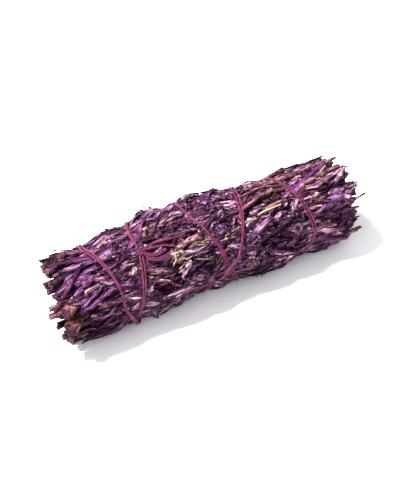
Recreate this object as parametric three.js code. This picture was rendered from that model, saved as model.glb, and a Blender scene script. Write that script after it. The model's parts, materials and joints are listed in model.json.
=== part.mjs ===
// A smudge stick: sprigs of dried herb laid side by side and bound along their whole length
// by one cotton thread, wound double and tied in a knot on the upper side.
//
// Millimetres. +X runs from the cut stems to the leaf tips and +Z is up. The bundle lies on its
// own weight-flattened underside at z = 0, and the origin is the middle of its footprint.

import * as THREE from 'three';
import { mergeVertices } from 'three/addons/utils/BufferGeometryUtils.js';

// ---- Driving dimensions ----------------------------------------------------------------------

const BUNDLE_RADIUS = 15.2; // axis to the outside of the outermost sprigs
const SPRIG_RADIUS = 1.7; // widest reach of one sprig's pressed leaves
const SPRIG_GAP = 0.3; // clearance between neighbouring pieces
const STEM_END = { mean: -52, spread: 3.4 }; // where the cut stems end along the bundle
const TIP_END = { mean: 51.5, spread: 3.8 }; // where the leaf tips end along the bundle
const BARE_STEM_LENGTH = 7; // stretch at the stem end with few leaves left
const TIP_TAPER_LENGTH = 13; // stretch over which a sprig thins to its tip
const GIRTH = { peak: 1.012, at: -25, fall: 0.00001 }; // the bundle is fullest near the knot
const TWIST = THREE.MathUtils.degToRad(9); // turn of the sprigs from one end to the other
const REST_DEPTH = 12.9; // axis to the flattened underside
const SETTLE = { from: 12, reach: 4 }; // how deep down the underside starts to give, and how far

const THREAD_DIAMETER = 0.8;
const THREAD_SIDES = 6;
const THREAD_HEIGHT = 0.8; // outside of the sprigs to the middle of a strand
const THREAD_LOWEST = 0.6; // resting plane to the middle of a strand that passes under
const THREAD_STEP = 3.6; // length of one straight facet of a wound strand
const STRAND_SPACING = 1.15; // between the two strands of the doubled thread
const PINCH_DEPTH = 1.5; // how far the tight thread sinks the leaves
const PINCH_REACH = 7.5; // distance from the thread at which the leaves are full again
const CROSSING = { lift: 1.2, near: 2.4, far: 6.5 }; // a later turn rides over an earlier one

// The winding, as [degrees wound since the knot, place along the bundle]. It starts and ends at
// the knot and makes five turns: down the front, under, up the back and over the top.
const WINDING = [
  [0, -26.6], [19, -27.8], [45, -29.3], [76, -31.6],
  [318, -41.9], [349, -39.8], [401, -36.8], [427, -36.5],
  [655, -8.0], [698, -5.3], [749, -0.7], [788, 2.0],
  [1047, 30.0], [1091, 33.3], [1150, 34.5],
  [1389, 15.1], [1446, 10.4], [1488, 5.1], [1508, -0.8],
  [1765, -26.2], [1800, -26.6],
];
const KNOT = { x: -26.6, angle: 68, ring: 1.0, tube: 0.36, height: 1.35 };
const KNOT_GAP = 8; // degrees of winding left free on each side of the knot

// Loose ends and flattened bow loops of the knot, as [place along the bundle, angle up the front].
const TAILS = {
  thread_tail_long: [[-24.1, 70.6], [-18.7, 68.5], [-14.1, 67.5], [-10.0, 69.0]],
  thread_tail_short: [[-24.0, 66.6], [-21.3, 64.3], [-18.6, 62.0], [-15.1, 56.0]],
  thread_loop_upper: [[-24.6, 62.4], [-23.6, 59.8], [-21.7, 58.0], [-19.4, 58.3]],
  thread_loop_lower: [[-25.4, 59.0], [-24.9, 55.4], [-22.6, 52.2], [-20.0, 53.6]],
};

// Layers of sprigs from the heart of the bundle outwards.
const LAYER_STEP = 2 * SPRIG_RADIUS + SPRIG_GAP;
const OUTER_LAYER = BUNDLE_RADIUS - SPRIG_RADIUS;
const LAYERS = [
  { name: 'heart_sprig', count: 3, depth: 3, sides: 5, facet: 15, start: 30 },
  { name: 'inner_sprig', count: 9, depth: 2, sides: 5, facet: 15, start: 10 },
  { name: 'middle_sprig', count: 15, depth: 1, sides: 5, facet: 7.5, start: -90 },
  { name: 'outer_sprig', count: 21, depth: 0, sides: 6, facet: 7, start: -90 },
];

const HERB_COLORS = [0x65405a, 0x53314a, 0x774f68, 0x8a4a3c, 0x8b617a, 0x9a6a52, 0x46263b];
const THREAD_COLOR = 0xb8325f;

// ---- Helpers ---------------------------------------------------------------------------------

/** A repeatable number from 0 to 1 for a piece and one of its features. */
function chance(piece, feature) {
  const value = Math.sin(piece * 127.1 + feature * 311.7) * 43758.5453;
  return value - Math.floor(value);
}

/** The thread's place along the bundle after winding a number of degrees. */
function windingPlace(degrees) {
  let k = 1;
  while (k < WINDING.length - 1 && WINDING[k][0] < degrees) k += 1;
  const [a0, x0] = WINDING[k - 1];
  const [a1, x1] = WINDING[k];
  const slopeAt = (i) => {
    const before = WINDING[Math.max(i - 1, 0)];
    const after = WINDING[Math.min(i + 1, WINDING.length - 1)];
    return (after[1] - before[1]) / (after[0] - before[0]);
  };
  const span = a1 - a0;
  const t = (degrees - a0) / span;
  const s = 1 - t;
  const ends = x0 * (1 + 2 * t) * s * s + x1 * (3 - 2 * t) * t * t;
  return ends + span * t * s * (slopeAt(k - 1) * s - slopeAt(k) * t);
}

/** Angle up the front of the bundle, in radians, after winding a number of degrees. */
function windingAngle(degrees) {
  return THREE.MathUtils.degToRad(KNOT.angle - degrees);
}

/** The difference of two angles, from -PI to PI. */
function turnBetween(a, b) {
  return Math.atan2(Math.sin(a - b), Math.cos(a - b));
}

const WOUND_DEGREES = WINDING[WINDING.length - 1][0];
const TURN_SAMPLES = Array.from({ length: WOUND_DEGREES / 4 + 1 }, (_, i) => ({
  degrees: i * 4,
  x: windingPlace(i * 4),
  angle: windingAngle(i * 4),
}));

/** Distance over the bundle's surface from a place to one sample of the thread. */
function surfaceDistance(x, angle, sample) {
  return Math.hypot(x - sample.x, BUNDLE_RADIUS * turnBetween(angle, sample.angle));
}

/** How strongly the thread pinches the leaves at a place: 1 under it, 0 well away from it. */
function pinch(x, angle) {
  let nearest = PINCH_REACH;
  for (const sample of TURN_SAMPLES) {
    if (Math.abs(x - sample.x) < nearest) {
      nearest = Math.min(nearest, surfaceDistance(x, angle, sample));
    }
  }
  return (1 - (nearest / PINCH_REACH) ** 2) ** 2;
}

/** Outline of the lying bundle: a height over the axis, given way to the resting surface. */
function settle(height) {
  const below = -height - SETTLE.from;
  if (below <= 0) return height;
  const given = SETTLE.from + SETTLE.reach * (1 - Math.exp(-below / SETTLE.reach));
  return Math.max(-given, -REST_DEPTH);
}

/**
 * Takes a place in the straight, round bundle to its place in the bound, lying one.
 * The angle goes up the front of the bundle: 0 faces -Y and a quarter turn faces +Z.
 */
function lay(x, radius, angle) {
  const girth = GIRTH.peak - GIRTH.fall * (x - GIRTH.at) ** 2;
  const y = -radius * girth * Math.cos(angle);
  const z = settle(radius * girth * Math.sin(angle));
  const reach = Math.hypot(y, z);
  if (reach === 0) return new THREE.Vector3(x, 0, REST_DEPTH);
  const facing = Math.atan2(z, -y);
  const underside = z < 0 ? REST_DEPTH / -Math.sin(facing) : Infinity;
  const depth = reach / Math.min(BUNDLE_RADIUS * girth, underside);
  const scale = 1 - (PINCH_DEPTH * depth ** 4 * pinch(x, facing)) / reach;
  return new THREE.Vector3(x, y * scale, z * scale + REST_DEPTH);
}

/** A place a little above the outside of the bundle, for the thread to run through. */
function above(x, angle, height) {
  const ground = lay(x, BUNDLE_RADIUS, angle);
  const outward = new THREE.Vector3(0, ground.y, ground.z - REST_DEPTH).normalize();
  const place = ground.addScaledVector(outward, height);
  place.z = Math.max(place.z, THREAD_LOWEST);
  return place;
}

/** A three.js geometry as one welded closed skin of positions only. */
function weld(geometry) {
  geometry.deleteAttribute('normal');
  geometry.deleteAttribute('uv');
  const welded = mergeVertices(geometry, 1e-4);
  welded.computeVertexNormals();
  return welded;
}

/** A named mesh with its own plain material. */
function piece(name, geometry, color, roughness) {
  const material = new THREE.MeshStandardMaterial({ color, roughness, metalness: 0 });
  const mesh = new THREE.Mesh(geometry, material);
  mesh.name = name;
  return mesh;
}

// ---- Sprigs ----------------------------------------------------------------------------------

/** Places along a sprig where its outline is drawn: one under each turn of thread, and between. */
function sprigStations(start, end, angle, facet) {
  const anchors = [start];
  const crossings = [];
  for (let i = 1; i < TURN_SAMPLES.length; i += 1) {
    const { x } = TURN_SAMPLES[i];
    const before = turnBetween(TURN_SAMPLES[i - 1].angle, angle);
    const after = turnBetween(TURN_SAMPLES[i].angle, angle);
    if (before * after <= 0 && Math.abs(before) < 1) crossings.push(x);
  }
  for (const x of crossings.sort((a, b) => a - b)) {
    if (x - anchors[anchors.length - 1] > facet / 2 && end - x > facet / 2) anchors.push(x);
  }
  anchors.push(end);
  const stations = [start];
  for (let i = 1; i < anchors.length; i += 1) {
    const gap = anchors[i] - anchors[i - 1];
    const steps = Math.ceil(gap / facet);
    for (let k = 1; k <= steps; k += 1) stations.push(anchors[i - 1] + (gap * k) / steps);
  }
  return stations;
}

/** Reach of a sprig's leaves around its stem: a bare stem, leafy tufts, then a thin tip. */
function sprigReach(index, x, start, end) {
  const tufts = 0.5 + 0.5 * Math.sin(x * 0.42 + 6.3 * chance(index, 3)) * Math.cos(x * 0.17 + index);
  const leafy = SPRIG_RADIUS * (0.84 + 0.16 * tufts);
  const bare = SPRIG_RADIUS * (0.62 + 0.2 * chance(index, 4));
  const tip = SPRIG_RADIUS * (0.25 + 0.2 * chance(index, 5));
  const leafing = THREE.MathUtils.smoothstep(x, start + 1, start + BARE_STEM_LENGTH);
  const thinning = THREE.MathUtils.smoothstep(x, end - TIP_TAPER_LENGTH, end);
  return THREE.MathUtils.lerp(THREE.MathUtils.lerp(bare, leafy, leafing), tip, thinning);
}

/** One sprig, a stem grown together with its leaves, bent to its place in the bundle. */
function makeSprig(layer, number, index) {
  const start = STEM_END.mean + STEM_END.spread * (2 * chance(index, 1) - 1);
  const end = TIP_END.mean + TIP_END.spread * (2 * chance(index, 2) - 1);
  const angle = THREE.MathUtils.degToRad(layer.start + (360 * number) / layer.count);
  const radius = OUTER_LAYER - layer.depth * LAYER_STEP;
  const stations = sprigStations(start, end, angle, layer.facet);
  const rod = new THREE.CylinderGeometry(1, 1, 1, layer.sides, stations.length - 1);
  const corners = rod.attributes.position;
  for (let i = 0; i < corners.count; i += 1) {
    const along = (corners.getY(i) + 0.5) * (stations.length - 1);
    const x = stations[Math.round(along)];
    const reach = sprigReach(index, x, start, end);
    const turned = angle + (TWIST * x) / (TIP_END.mean - STEM_END.mean);
    const out = radius + reach * corners.getZ(i);
    const side = -reach * corners.getX(i);
    const place = lay(x, Math.hypot(out, side), turned + Math.atan2(side, out));
    corners.setXYZ(i, place.x, place.y, place.z);
  }
  const name = `${layer.name}_${String(number + 1).padStart(2, '0')}`;
  return piece(name, weld(rod), HERB_COLORS[index % HERB_COLORS.length], 0.9);
}

/** All sprigs, layer by layer. */
function makeSprigs() {
  const sprigs = [];
  for (const layer of LAYERS) {
    for (let number = 0; number < layer.count; number += 1) {
      sprigs.push(makeSprig(layer, number, sprigs.length));
    }
  }
  return sprigs;
}

// ---- Thread ----------------------------------------------------------------------------------

/** How far a turn is lifted where it rides over an earlier one. */
function crossingLift(degrees, x, angle) {
  if (degrees > WOUND_DEGREES - 120) return 0;
  let nearest = CROSSING.far;
  for (const sample of TURN_SAMPLES) {
    if (sample.degrees > degrees - 180) break;
    nearest = Math.min(nearest, surfaceDistance(x, angle, sample));
  }
  return CROSSING.lift * (1 - THREE.MathUtils.smoothstep(nearest, CROSSING.near, CROSSING.far));
}

/** Route of one of the two strands of the wound thread, from the knot round to the knot. */
class StrandRoute extends THREE.Curve {
  constructor(offset) {
    super();
    this.offset = offset;
    this.arcLengthDivisions = 900;
  }

  getPoint(t, target = new THREE.Vector3()) {
    const degrees = KNOT_GAP + t * (WOUND_DEGREES - 2 * KNOT_GAP);
    const place = windingPlace(degrees);
    const slope = windingPlace(degrees + 0.5) - windingPlace(degrees - 0.5);
    const arc = BUNDLE_RADIUS * THREE.MathUtils.degToRad(1);
    const length = Math.hypot(slope, arc);
    const x = place + (this.offset * arc) / length;
    const angle = windingAngle(degrees) + ((this.offset * slope) / length / arc) * (Math.PI / 180);
    const height = THREAD_HEIGHT + crossingLift(degrees, place, angle);
    return target.copy(above(x, angle, height));
  }
}

/** A round thread along a curve, closed at both ends. */
function makeThread(name, route) {
  const section = new THREE.Shape();
  section.absarc(0, 0, THREAD_DIAMETER / 2, 0, 2 * Math.PI);
  const geometry = new THREE.ExtrudeGeometry(section, {
    extrudePath: route,
    curveSegments: THREAD_SIDES / 2,
    steps: Math.ceil(route.getLength() / THREAD_STEP),
  });
  return piece(name, weld(geometry), THREAD_COLOR, 0.75);
}

/** A loose end or a flattened loop of the knot, lying on the leaves. */
function makeTail(name, places) {
  const points = places.map(([x, angle]) => {
    return above(x, THREE.MathUtils.degToRad(angle), THREAD_HEIGHT);
  });
  return makeThread(name, new THREE.CatmullRomCurve3(points));
}

/** The knot: an overhand knot pulled tight on the upper front of the bundle. */
function makeKnot() {
  const turns = new THREE.TorusKnotGeometry(KNOT.ring, KNOT.tube, 48, 6, 2, 3);
  const facing = THREE.MathUtils.degToRad(KNOT.angle);
  const seat = above(KNOT.x, facing, KNOT.height);
  turns.rotateX(Math.PI / 2 - facing);
  turns.translate(seat.x, seat.y, seat.z);
  return piece('thread_knot', weld(turns), THREAD_COLOR, 0.75);
}

/** The whole binding: two wound strands, the knot and what hangs from it. */
function makeBinding() {
  const strands = [
    makeThread('thread_strand_a', new StrandRoute(-STRAND_SPACING / 2)),
    makeThread('thread_strand_b', new StrandRoute(STRAND_SPACING / 2)),
  ];
  const tails = Object.entries(TAILS).map(([name, places]) => makeTail(name, places));
  return [...strands, makeKnot(), ...tails];
}

// ---- Assembly --------------------------------------------------------------------------------

/** The smudge stick, with the middle of its footprint at the origin. */
function makeSmudgeStick() {
  const bundle = new THREE.Group();
  bundle.add(...makeSprigs(), ...makeBinding());
  const box = new THREE.Box3().setFromObject(bundle);
  const middle = box.getCenter(new THREE.Vector3());
  bundle.position.set(-middle.x, -middle.y, -box.min.z);
  const stick = new THREE.Group();
  stick.name = 'smudge_stick';
  stick.add(bundle);
  return stick;
}

export default makeSmudgeStick();
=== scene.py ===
"""Looks of a smudge stick: dyed herb sprigs bound together by a doubled cotton thread.

Lengths in the classes are millimetres. Each sprig is drawn straight in a space of its own,
as (along, side, out), and BundleShape.lay carries it to its place in the bound, lying bundle.
Finished meshes are in metres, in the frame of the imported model.
"""

import json
import logging
import math
from dataclasses import dataclass, field
from enum import Enum

import bpy
import numpy as np
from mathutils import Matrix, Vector

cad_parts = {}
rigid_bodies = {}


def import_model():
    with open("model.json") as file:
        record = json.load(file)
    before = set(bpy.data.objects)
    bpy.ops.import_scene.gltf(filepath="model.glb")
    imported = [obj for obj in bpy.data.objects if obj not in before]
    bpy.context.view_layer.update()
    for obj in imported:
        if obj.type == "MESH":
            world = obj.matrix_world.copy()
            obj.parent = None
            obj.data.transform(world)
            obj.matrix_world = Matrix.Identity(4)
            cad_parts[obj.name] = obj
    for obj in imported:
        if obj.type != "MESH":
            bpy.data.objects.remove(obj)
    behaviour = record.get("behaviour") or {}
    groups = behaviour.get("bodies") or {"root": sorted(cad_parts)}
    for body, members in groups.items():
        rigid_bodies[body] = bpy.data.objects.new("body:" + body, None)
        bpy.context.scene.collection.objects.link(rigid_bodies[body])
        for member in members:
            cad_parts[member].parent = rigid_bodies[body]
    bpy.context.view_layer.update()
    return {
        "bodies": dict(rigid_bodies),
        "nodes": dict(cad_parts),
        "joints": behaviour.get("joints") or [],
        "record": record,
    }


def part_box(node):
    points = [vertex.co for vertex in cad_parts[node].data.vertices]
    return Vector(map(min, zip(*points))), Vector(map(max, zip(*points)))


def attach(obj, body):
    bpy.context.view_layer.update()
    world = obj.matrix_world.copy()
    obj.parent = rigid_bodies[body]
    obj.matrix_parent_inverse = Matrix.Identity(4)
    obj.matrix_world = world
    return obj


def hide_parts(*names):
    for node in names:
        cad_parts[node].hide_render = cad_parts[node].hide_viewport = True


LOG = logging.getLogger("smudge_stick")
MM = 0.001
BODY = "root"
UV_NAME = "UVMap"


def smoothstep(value: np.ndarray, low: float, high: float) -> np.ndarray:
    """Smooth step from 0 at low to 1 at high.

    Args:
        value: numbers to step.
        low, high: where the step starts and ends.

    Returns:
        The step at each number.
    """
    t = np.clip((value - low) / (high - low), 0.0, 1.0)
    return t * t * (3.0 - 2.0 * t)


def unit(vectors: np.ndarray) -> np.ndarray:
    """Vectors scaled to length one, row by row."""
    return vectors / np.maximum(np.linalg.norm(vectors, axis=-1, keepdims=True), 1e-9)


def wrapped(angle: np.ndarray) -> np.ndarray:
    """Angles in radians, brought to within half a turn of 0."""
    return np.arctan2(np.sin(angle), np.cos(angle))


def run_lengths(points: np.ndarray) -> np.ndarray:
    """Length of a line of points from its start to each of them."""
    return np.concatenate([[0.0], np.cumsum(np.linalg.norm(np.diff(points, axis=0), axis=1))])


def show(made: bpy.types.Object) -> None:
    """Links an object to the scene."""
    bpy.context.scene.collection.objects.link(made)


def store(mesh: bpy.types.Mesh, key: str, kind: str, values: np.ndarray) -> None:
    """Keeps numbers on the points of a mesh.

    Args:
        mesh: the mesh.
        key: the attribute's name.
        kind: the attribute's type, FLOAT, INT or FLOAT_VECTOR.
        values: one number or vector for each point.
    """
    numbers = values.astype(np.int32 if kind == "INT" else np.float32).ravel()
    field_name = "vector" if kind == "FLOAT_VECTOR" else "value"
    mesh.attributes.new(key, kind, "POINT").data.foreach_set(field_name, numbers)


def curve_through(points: np.ndarray, count: int) -> np.ndarray:
    """A smooth line through points.

    Args:
        points: what it goes through, one row for each.
        count: how many points to make.

    Returns:
        The line, in rows like those of points.
    """
    padded = np.concatenate([2 * points[:1] - points[1:2], points, 2 * points[-1:] - points[-2:-1]])
    t = np.linspace(0, len(points) - 1 - 1e-6, count)
    k, f = t.astype(int), (t % 1.0)[:, None]
    a, b, c, d = padded[k], padded[k + 1], padded[k + 2], padded[k + 3]
    return 0.5 * (2 * b + (c - a) * f + (2 * a - 5 * b + 4 * c - d) * f**2 + (3 * b - a - 3 * c + d) * f**3)


# ---- The bundle's form -------------------------------------------------------------------------


@dataclass(frozen=True)
class Winding:
    """Route of the thread round the bundle, from the knot and back to it.

    Attributes:
        stops: degrees wound since the knot, and the place along the bundle there.
        knot_angle: degrees up the front of the bundle at which the knot sits.
    """

    stops: tuple[tuple[float, float], ...] = (
        (0, -26.6), (19, -27.8), (45, -29.3), (76, -31.6),
        (318, -41.9), (349, -39.8), (401, -36.8), (427, -36.5),
        (655, -8.0), (698, -5.3), (749, -0.7), (788, 2.0),
        (1047, 30.0), (1091, 33.3), (1150, 34.5),
        (1389, 15.1), (1446, 10.4), (1488, 5.1), (1508, -0.8),
        (1765, -26.2), (1800, -26.6),
    )
    knot_angle: float = 68.0

    @property
    def total(self) -> float:
        """Degrees wound from the knot round to the knot."""
        return float(self.stops[-1][0])

    def place(self, degrees: np.ndarray) -> np.ndarray:
        """Place along the bundle after winding some degrees.

        Args:
            degrees: degrees wound since the knot.

        Returns:
            The place along the bundle for each.
        """
        stops = np.array(self.stops, float)
        turns, places = stops[:, 0], stops[:, 1]
        last = len(stops) - 1
        before = np.maximum(np.arange(last + 1) - 1, 0)
        after = np.minimum(np.arange(last + 1) + 1, last)
        slope = (places[after] - places[before]) / (turns[after] - turns[before])
        k = np.clip(np.searchsorted(turns, degrees), 1, last)
        span = turns[k] - turns[k - 1]
        t = (degrees - turns[k - 1]) / span
        s = 1.0 - t
        ends = places[k - 1] * (1 + 2 * t) * s * s + places[k] * (3 - 2 * t) * t * t
        return ends + span * t * s * (slope[k - 1] * s - slope[k] * t)

    def angle(self, degrees: np.ndarray) -> np.ndarray:
        """Angle up the front of the bundle, in radians, after winding some degrees."""
        return np.radians(self.knot_angle - degrees)


@dataclass(frozen=True)
class Swell:
    """A place where the bundle is fuller, or leaner, than round.

    Attributes:
        x, angle: its middle, along the bundle and in degrees up the front.
        length, width: how far it reaches, millimetres and degrees.
        height: how far it stands out.
    """

    x: float
    angle: float
    length: float
    width: float
    height: float

    def rise(self, x: np.ndarray, angle: np.ndarray) -> np.ndarray:
        """How far the outside stands out.

        Args:
            x: places along the bundle.
            angle: angles up the front, in radians.

        Returns:
            The rise at each place.
        """
        around = wrapped(angle - math.radians(self.angle)) / math.radians(self.width)
        return self.height * np.exp(-((x - self.x) / self.length) ** 2 - around**2)


SWELLS = (
    Swell(-18.0, 122, 10.0, 32, 2.9),
    Swell(-4.0, 125, 5.5, 28, 2.7),
    Swell(-49.0, -30, 6.0, 25, -1.6),
    Swell(11.0, 124, 11.0, 28, 1.9),
    Swell(-10.0, -25, 12.0, 30, -2.0),
    Swell(30.0, 118, 5.0, 20, 0.8),
)


@dataclass(frozen=True)
class BundleShape:
    """The round, straight bundle, and how it is bound and lies.

    Attributes:
        radius: axis to the outside of the outermost sprigs.
        sprig_radius: widest reach of one sprig's pressed leaves.
        girth_peak: fullness at the fullest place, girth_at, which falls off by girth_fall.
        twist: radians the sprigs turn for each millimetre along the bundle.
        rest_depth: axis to the flattened underside.
        settle_from: depth at which the underside starts to give, by at most settle_reach.
        pinch_depth: how far the thread sinks the leaves, out to pinch_reach beside it.
        looseness: height at which leaves that stand proud are pressed to half of it.
        footprint: middle of the lying bundle's footprint in the bundle's own space.
        thread_floor: lowest that the middle of the thread may lie.
        grid_x, grid_angle: places and angles of the table of pinch, which pinch_grid keeps.
    """

    winding: Winding = Winding()
    radius: float = 15.2
    sprig_radius: float = 1.7
    girth_peak: float = 1.012
    girth_at: float = -25.0
    girth_fall: float = 0.00001
    twist: float = math.radians(9.0) / 103.5
    rest_depth: float = 12.9
    settle_from: float = 12.0
    settle_reach: float = 4.0
    pinch_depth: float = 1.0
    looseness: float = 3.0
    pinch_reach: float = 7.5
    footprint: tuple[float, float] = (0.0043, -0.1604)
    thread_floor: float = 0.45
    grid_x: np.ndarray = field(default_factory=lambda: np.linspace(-64.0, 64.0, 321))
    grid_angle: np.ndarray = field(default_factory=lambda: np.radians(np.arange(-180, 182, 2.0)))
    pinch_grid: dict[str, np.ndarray] = field(default_factory=dict)

    def _pinches(self) -> np.ndarray:
        """Works out the pinch over place and angle, once.

        Returns:
            A table of pinch, as (place, angle).
        """
        if "table" not in self.pinch_grid:
            wound = np.arange(0.0, self.winding.total + 1, 3.0)
            x, angle = self.winding.place(wound), self.winding.angle(wound)
            grid_x, grid_a = np.meshgrid(self.grid_x, self.grid_angle, indexing="ij")
            nearest = np.full(grid_x.shape, self.pinch_reach)
            for place, turn in zip(x, angle):
                around = wrapped(grid_a - turn) * self.radius
                nearest = np.minimum(nearest, np.hypot(grid_x - place, around))
            self.pinch_grid["table"] = (1.0 - (nearest / self.pinch_reach) ** 2) ** 2
        return self.pinch_grid["table"]

    def pinch(self, x: np.ndarray, angle: np.ndarray) -> np.ndarray:
        """How strongly the thread pinches the leaves: 1 under it, 0 away from it.

        Args:
            x: places along the bundle.
            angle: angles up the front, in radians.

        Returns:
            The pinch at each place.
        """
        table = self._pinches()
        edge = self.grid_x[-1] - 0.1
        columns = (np.clip(x, -edge, edge) - self.grid_x[0]) / (self.grid_x[1] - self.grid_x[0])
        rows = (wrapped(angle) - self.grid_angle[0]) / (self.grid_angle[1] - self.grid_angle[0])
        i, j = columns.astype(int), np.minimum(rows.astype(int), table.shape[1] - 2)
        u, v = columns - i, rows - j
        low = table[i, j] * (1 - v) + table[i, j + 1] * v
        high = table[i + 1, j] * (1 - v) + table[i + 1, j + 1] * v
        return low * (1 - u) + high * u

    def girth(self, x: np.ndarray) -> np.ndarray:
        """Fullness of the bundle at places along it."""
        return self.girth_peak - self.girth_fall * (x - self.girth_at) ** 2

    def settle(self, height: np.ndarray) -> np.ndarray:
        """Heights over the axis, once the underside has given way to the surface.

        Args:
            height: heights over the axis of the round bundle.

        Returns:
            The heights of the lying bundle.
        """
        below = np.maximum(-height - self.settle_from, 0.0)
        given = self.settle_from + self.settle_reach * (1.0 - np.exp(-below / self.settle_reach))
        return np.where(below > 0, np.maximum(-given, -self.rest_depth), height)

    def lay(self, x: np.ndarray, radius: np.ndarray, angle: np.ndarray) -> np.ndarray:
        """Carries places of the straight bundle to the bound, lying one.

        Args:
            x: places along the bundle.
            radius: distances from its axis.
            angle: angles up the front, in radians: 0 faces -Y.

        Returns:
            Points in metres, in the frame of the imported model.
        """
        girth = self.girth(x)
        y = -radius * girth * np.cos(angle)
        z = self.settle(radius * girth * np.sin(angle))
        reach = np.maximum(np.hypot(y, z), 1e-6)
        facing = np.arctan2(z, -y)
        share = np.clip(reach / self.radius, 0.0, 1.0) ** 3
        swell = share * sum(s.rise(x, facing) for s in SWELLS)
        reach = reach + swell
        y, z = y * reach / (reach - swell), z * reach / (reach - swell)
        with np.errstate(divide="ignore"):
            underside = np.where(z < 0, self.rest_depth / -np.sin(facing), np.inf)
        outside = np.minimum(self.radius * girth + swell, underside)
        pinch = self.pinch(x, facing)
        proud = np.maximum(reach - outside, 0.0)
        held = proud * self.looseness / (self.looseness + proud)
        depth = np.minimum(reach / outside, 1.0)
        laid = reach - proud + held * (1.0 - pinch) - self.pinch_depth * depth**4 * pinch
        points = np.stack([x, y * laid / reach, z * laid / reach + self.rest_depth], -1)
        points[..., 2] = np.maximum(points[..., 2], 0.0)
        points[..., :2] -= np.array(self.footprint)
        return points * MM

    def above(self, x: np.ndarray, angle: np.ndarray, height: np.ndarray) -> np.ndarray:
        """Points that stand over the outside of the bundle.

        Args:
            x: places along the bundle.
            angle: angles up the front, in radians.
            height: heights over the outside.

        Returns:
            Points in metres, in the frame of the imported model.
        """
        ground = self.lay(x, np.full_like(x, self.radius), angle)
        middle = np.array([0.0, -self.footprint[1], self.rest_depth]) * MM
        outward = ground - middle
        outward[..., 0] = 0.0
        points = ground + unit(outward) * np.asarray(height)[..., None] * MM
        points[..., 2] = np.maximum(points[..., 2], self.thread_floor * MM)
        return points


# ---- Finishes ----------------------------------------------------------------------------------

Color = tuple[float, float, float]
Rgba = tuple[float, float, float, float]
Stops = tuple[tuple[float, Rgba], ...]


def tone(red: int, green: int, blue: int) -> Rgba:
    """A colour as painters give it, 0 to 255 a part, in the shader's linear terms."""
    parts = [((c / 255 + 0.055) / 1.055) ** 2.4 if c > 10 else c / 3295 for c in (red, green, blue)]
    return (*parts, 1.0)


def gray(level: float) -> Rgba:
    """A grey of one level, which may be over one."""
    return (level, level, level, 1.0)


class NodeBench:
    """Short hand for adding and joining nodes in one tree."""

    def __init__(self, tree: bpy.types.NodeTree) -> None:
        """Takes the tree to work in.

        Args:
            tree: a shader or geometry node tree.
        """
        self.tree = tree

    def add(self, kind: str, inputs: dict | None = None, **settings) -> bpy.types.Node:
        """Adds a node.

        Args:
            kind: the node's type name.
            inputs: values or other nodes' outputs, by input name or number.
            **settings: the node's own settings.

        Returns:
            The new node.
        """
        node = self.tree.nodes.new(kind)
        for name, value in settings.items():
            setattr(node, name, value)
        for key, value in (inputs or {}).items():
            self.feed(node, key, value)
        return node

    def feed(self, node: bpy.types.Node, key: str | int, value: object) -> None:
        """Sets an input of a node, or joins another node's output to it.

        Args:
            node: the node.
            key: the input's name or number.
            value: a value or a socket.
        """
        if isinstance(value, bpy.types.NodeSocket):
            self.tree.links.new(value, node.inputs[key])
        else:
            node.inputs[key].default_value = value

    def math(self, operation: str, a: object, b: object = 0.0, c: object = 0.0) -> bpy.types.NodeSocket:
        """Output of a Math node on numbers or sockets."""
        return self.add("ShaderNodeMath", {0: a, 1: b, 2: c}, operation=operation).outputs[0]

    def blend(self, share: object, a: object, b: object, mode: str = "MIX") -> bpy.types.NodeSocket:
        """Output of a colour Mix node, which turns share of a to b."""
        inputs = {0: share, 6: a, 7: b}
        return self.add("ShaderNodeMix", inputs, data_type="RGBA", blend_type=mode).outputs[2]

    def read(self, name: str) -> bpy.types.NodeSocket:
        """Output of a node that reads a number kept on the mesh."""
        return self.add("ShaderNodeAttribute", attribute_name=name).outputs["Fac"]

    def unrolled(self) -> bpy.types.NodeSocket:
        """Output of a node that gives places on a piece's unrolled surface."""
        return self.add("ShaderNodeUVMap", uv_map=UV_NAME).outputs["UV"]

    def span(self, value: object, low: float, high: float) -> bpy.types.NodeSocket:
        """A value stretched so that low becomes 0 and high becomes 1, cut off beyond."""
        inputs = {"Value": value, "From Min": low, "From Max": high}
        return self.add("ShaderNodeMapRange", inputs).outputs[0]


def new_group(name: str, numbers: dict[str, float], outputs: tuple[str, ...]) -> bpy.types.NodeTree:
    """An empty shader node group with named number inputs and outputs.

    Args:
        name: the group's name.
        numbers: input names and their usual values.
        outputs: output names.

    Returns:
        The group, without nodes.
    """
    group = bpy.data.node_groups.new(name, "ShaderNodeTree")
    for key, value in numbers.items():
        socket = group.interface.new_socket(key, in_out="INPUT", socket_type="NodeSocketFloat")
        socket.default_value = value
    for key in outputs:
        group.interface.new_socket(key, in_out="OUTPUT", socket_type="NodeSocketFloat")
    return group


def dye_mottle_group() -> bpy.types.NodeTree:
    """Patches where the dye took more or less, over the whole bundle.

    Returns:
        The shader group.
    """
    group = new_group("dye_mottle", {"Scale": 220.0, "Contrast": 1.0}, ("Patches", "Specks"))
    bench = NodeBench(group)
    given = bench.add("NodeGroupInput")
    place = bench.add("ShaderNodeTexCoord").outputs["Object"]
    broad = bench.add("ShaderNodeTexNoise", {"Vector": place, "Scale": given.outputs["Scale"],
                                             "Detail": 4.0, "Roughness": 0.62})
    fine_scale = bench.math("MULTIPLY", given.outputs["Scale"], 7.0)
    fine = bench.add("ShaderNodeTexNoise", {"Vector": place, "Scale": fine_scale,
                                            "Detail": 3.0, "Roughness": 0.7})
    centred = bench.math("SUBTRACT", broad.outputs["Fac"], 0.5)
    spread = bench.math("MULTIPLY_ADD", centred, given.outputs["Contrast"], 0.5)
    out = bench.add("NodeGroupOutput")
    bench.feed(out, "Patches", bench.span(spread, 0.28, 0.72))
    bench.feed(out, "Specks", bench.span(fine.outputs["Fac"], 0.56, 0.72))
    return group


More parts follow.
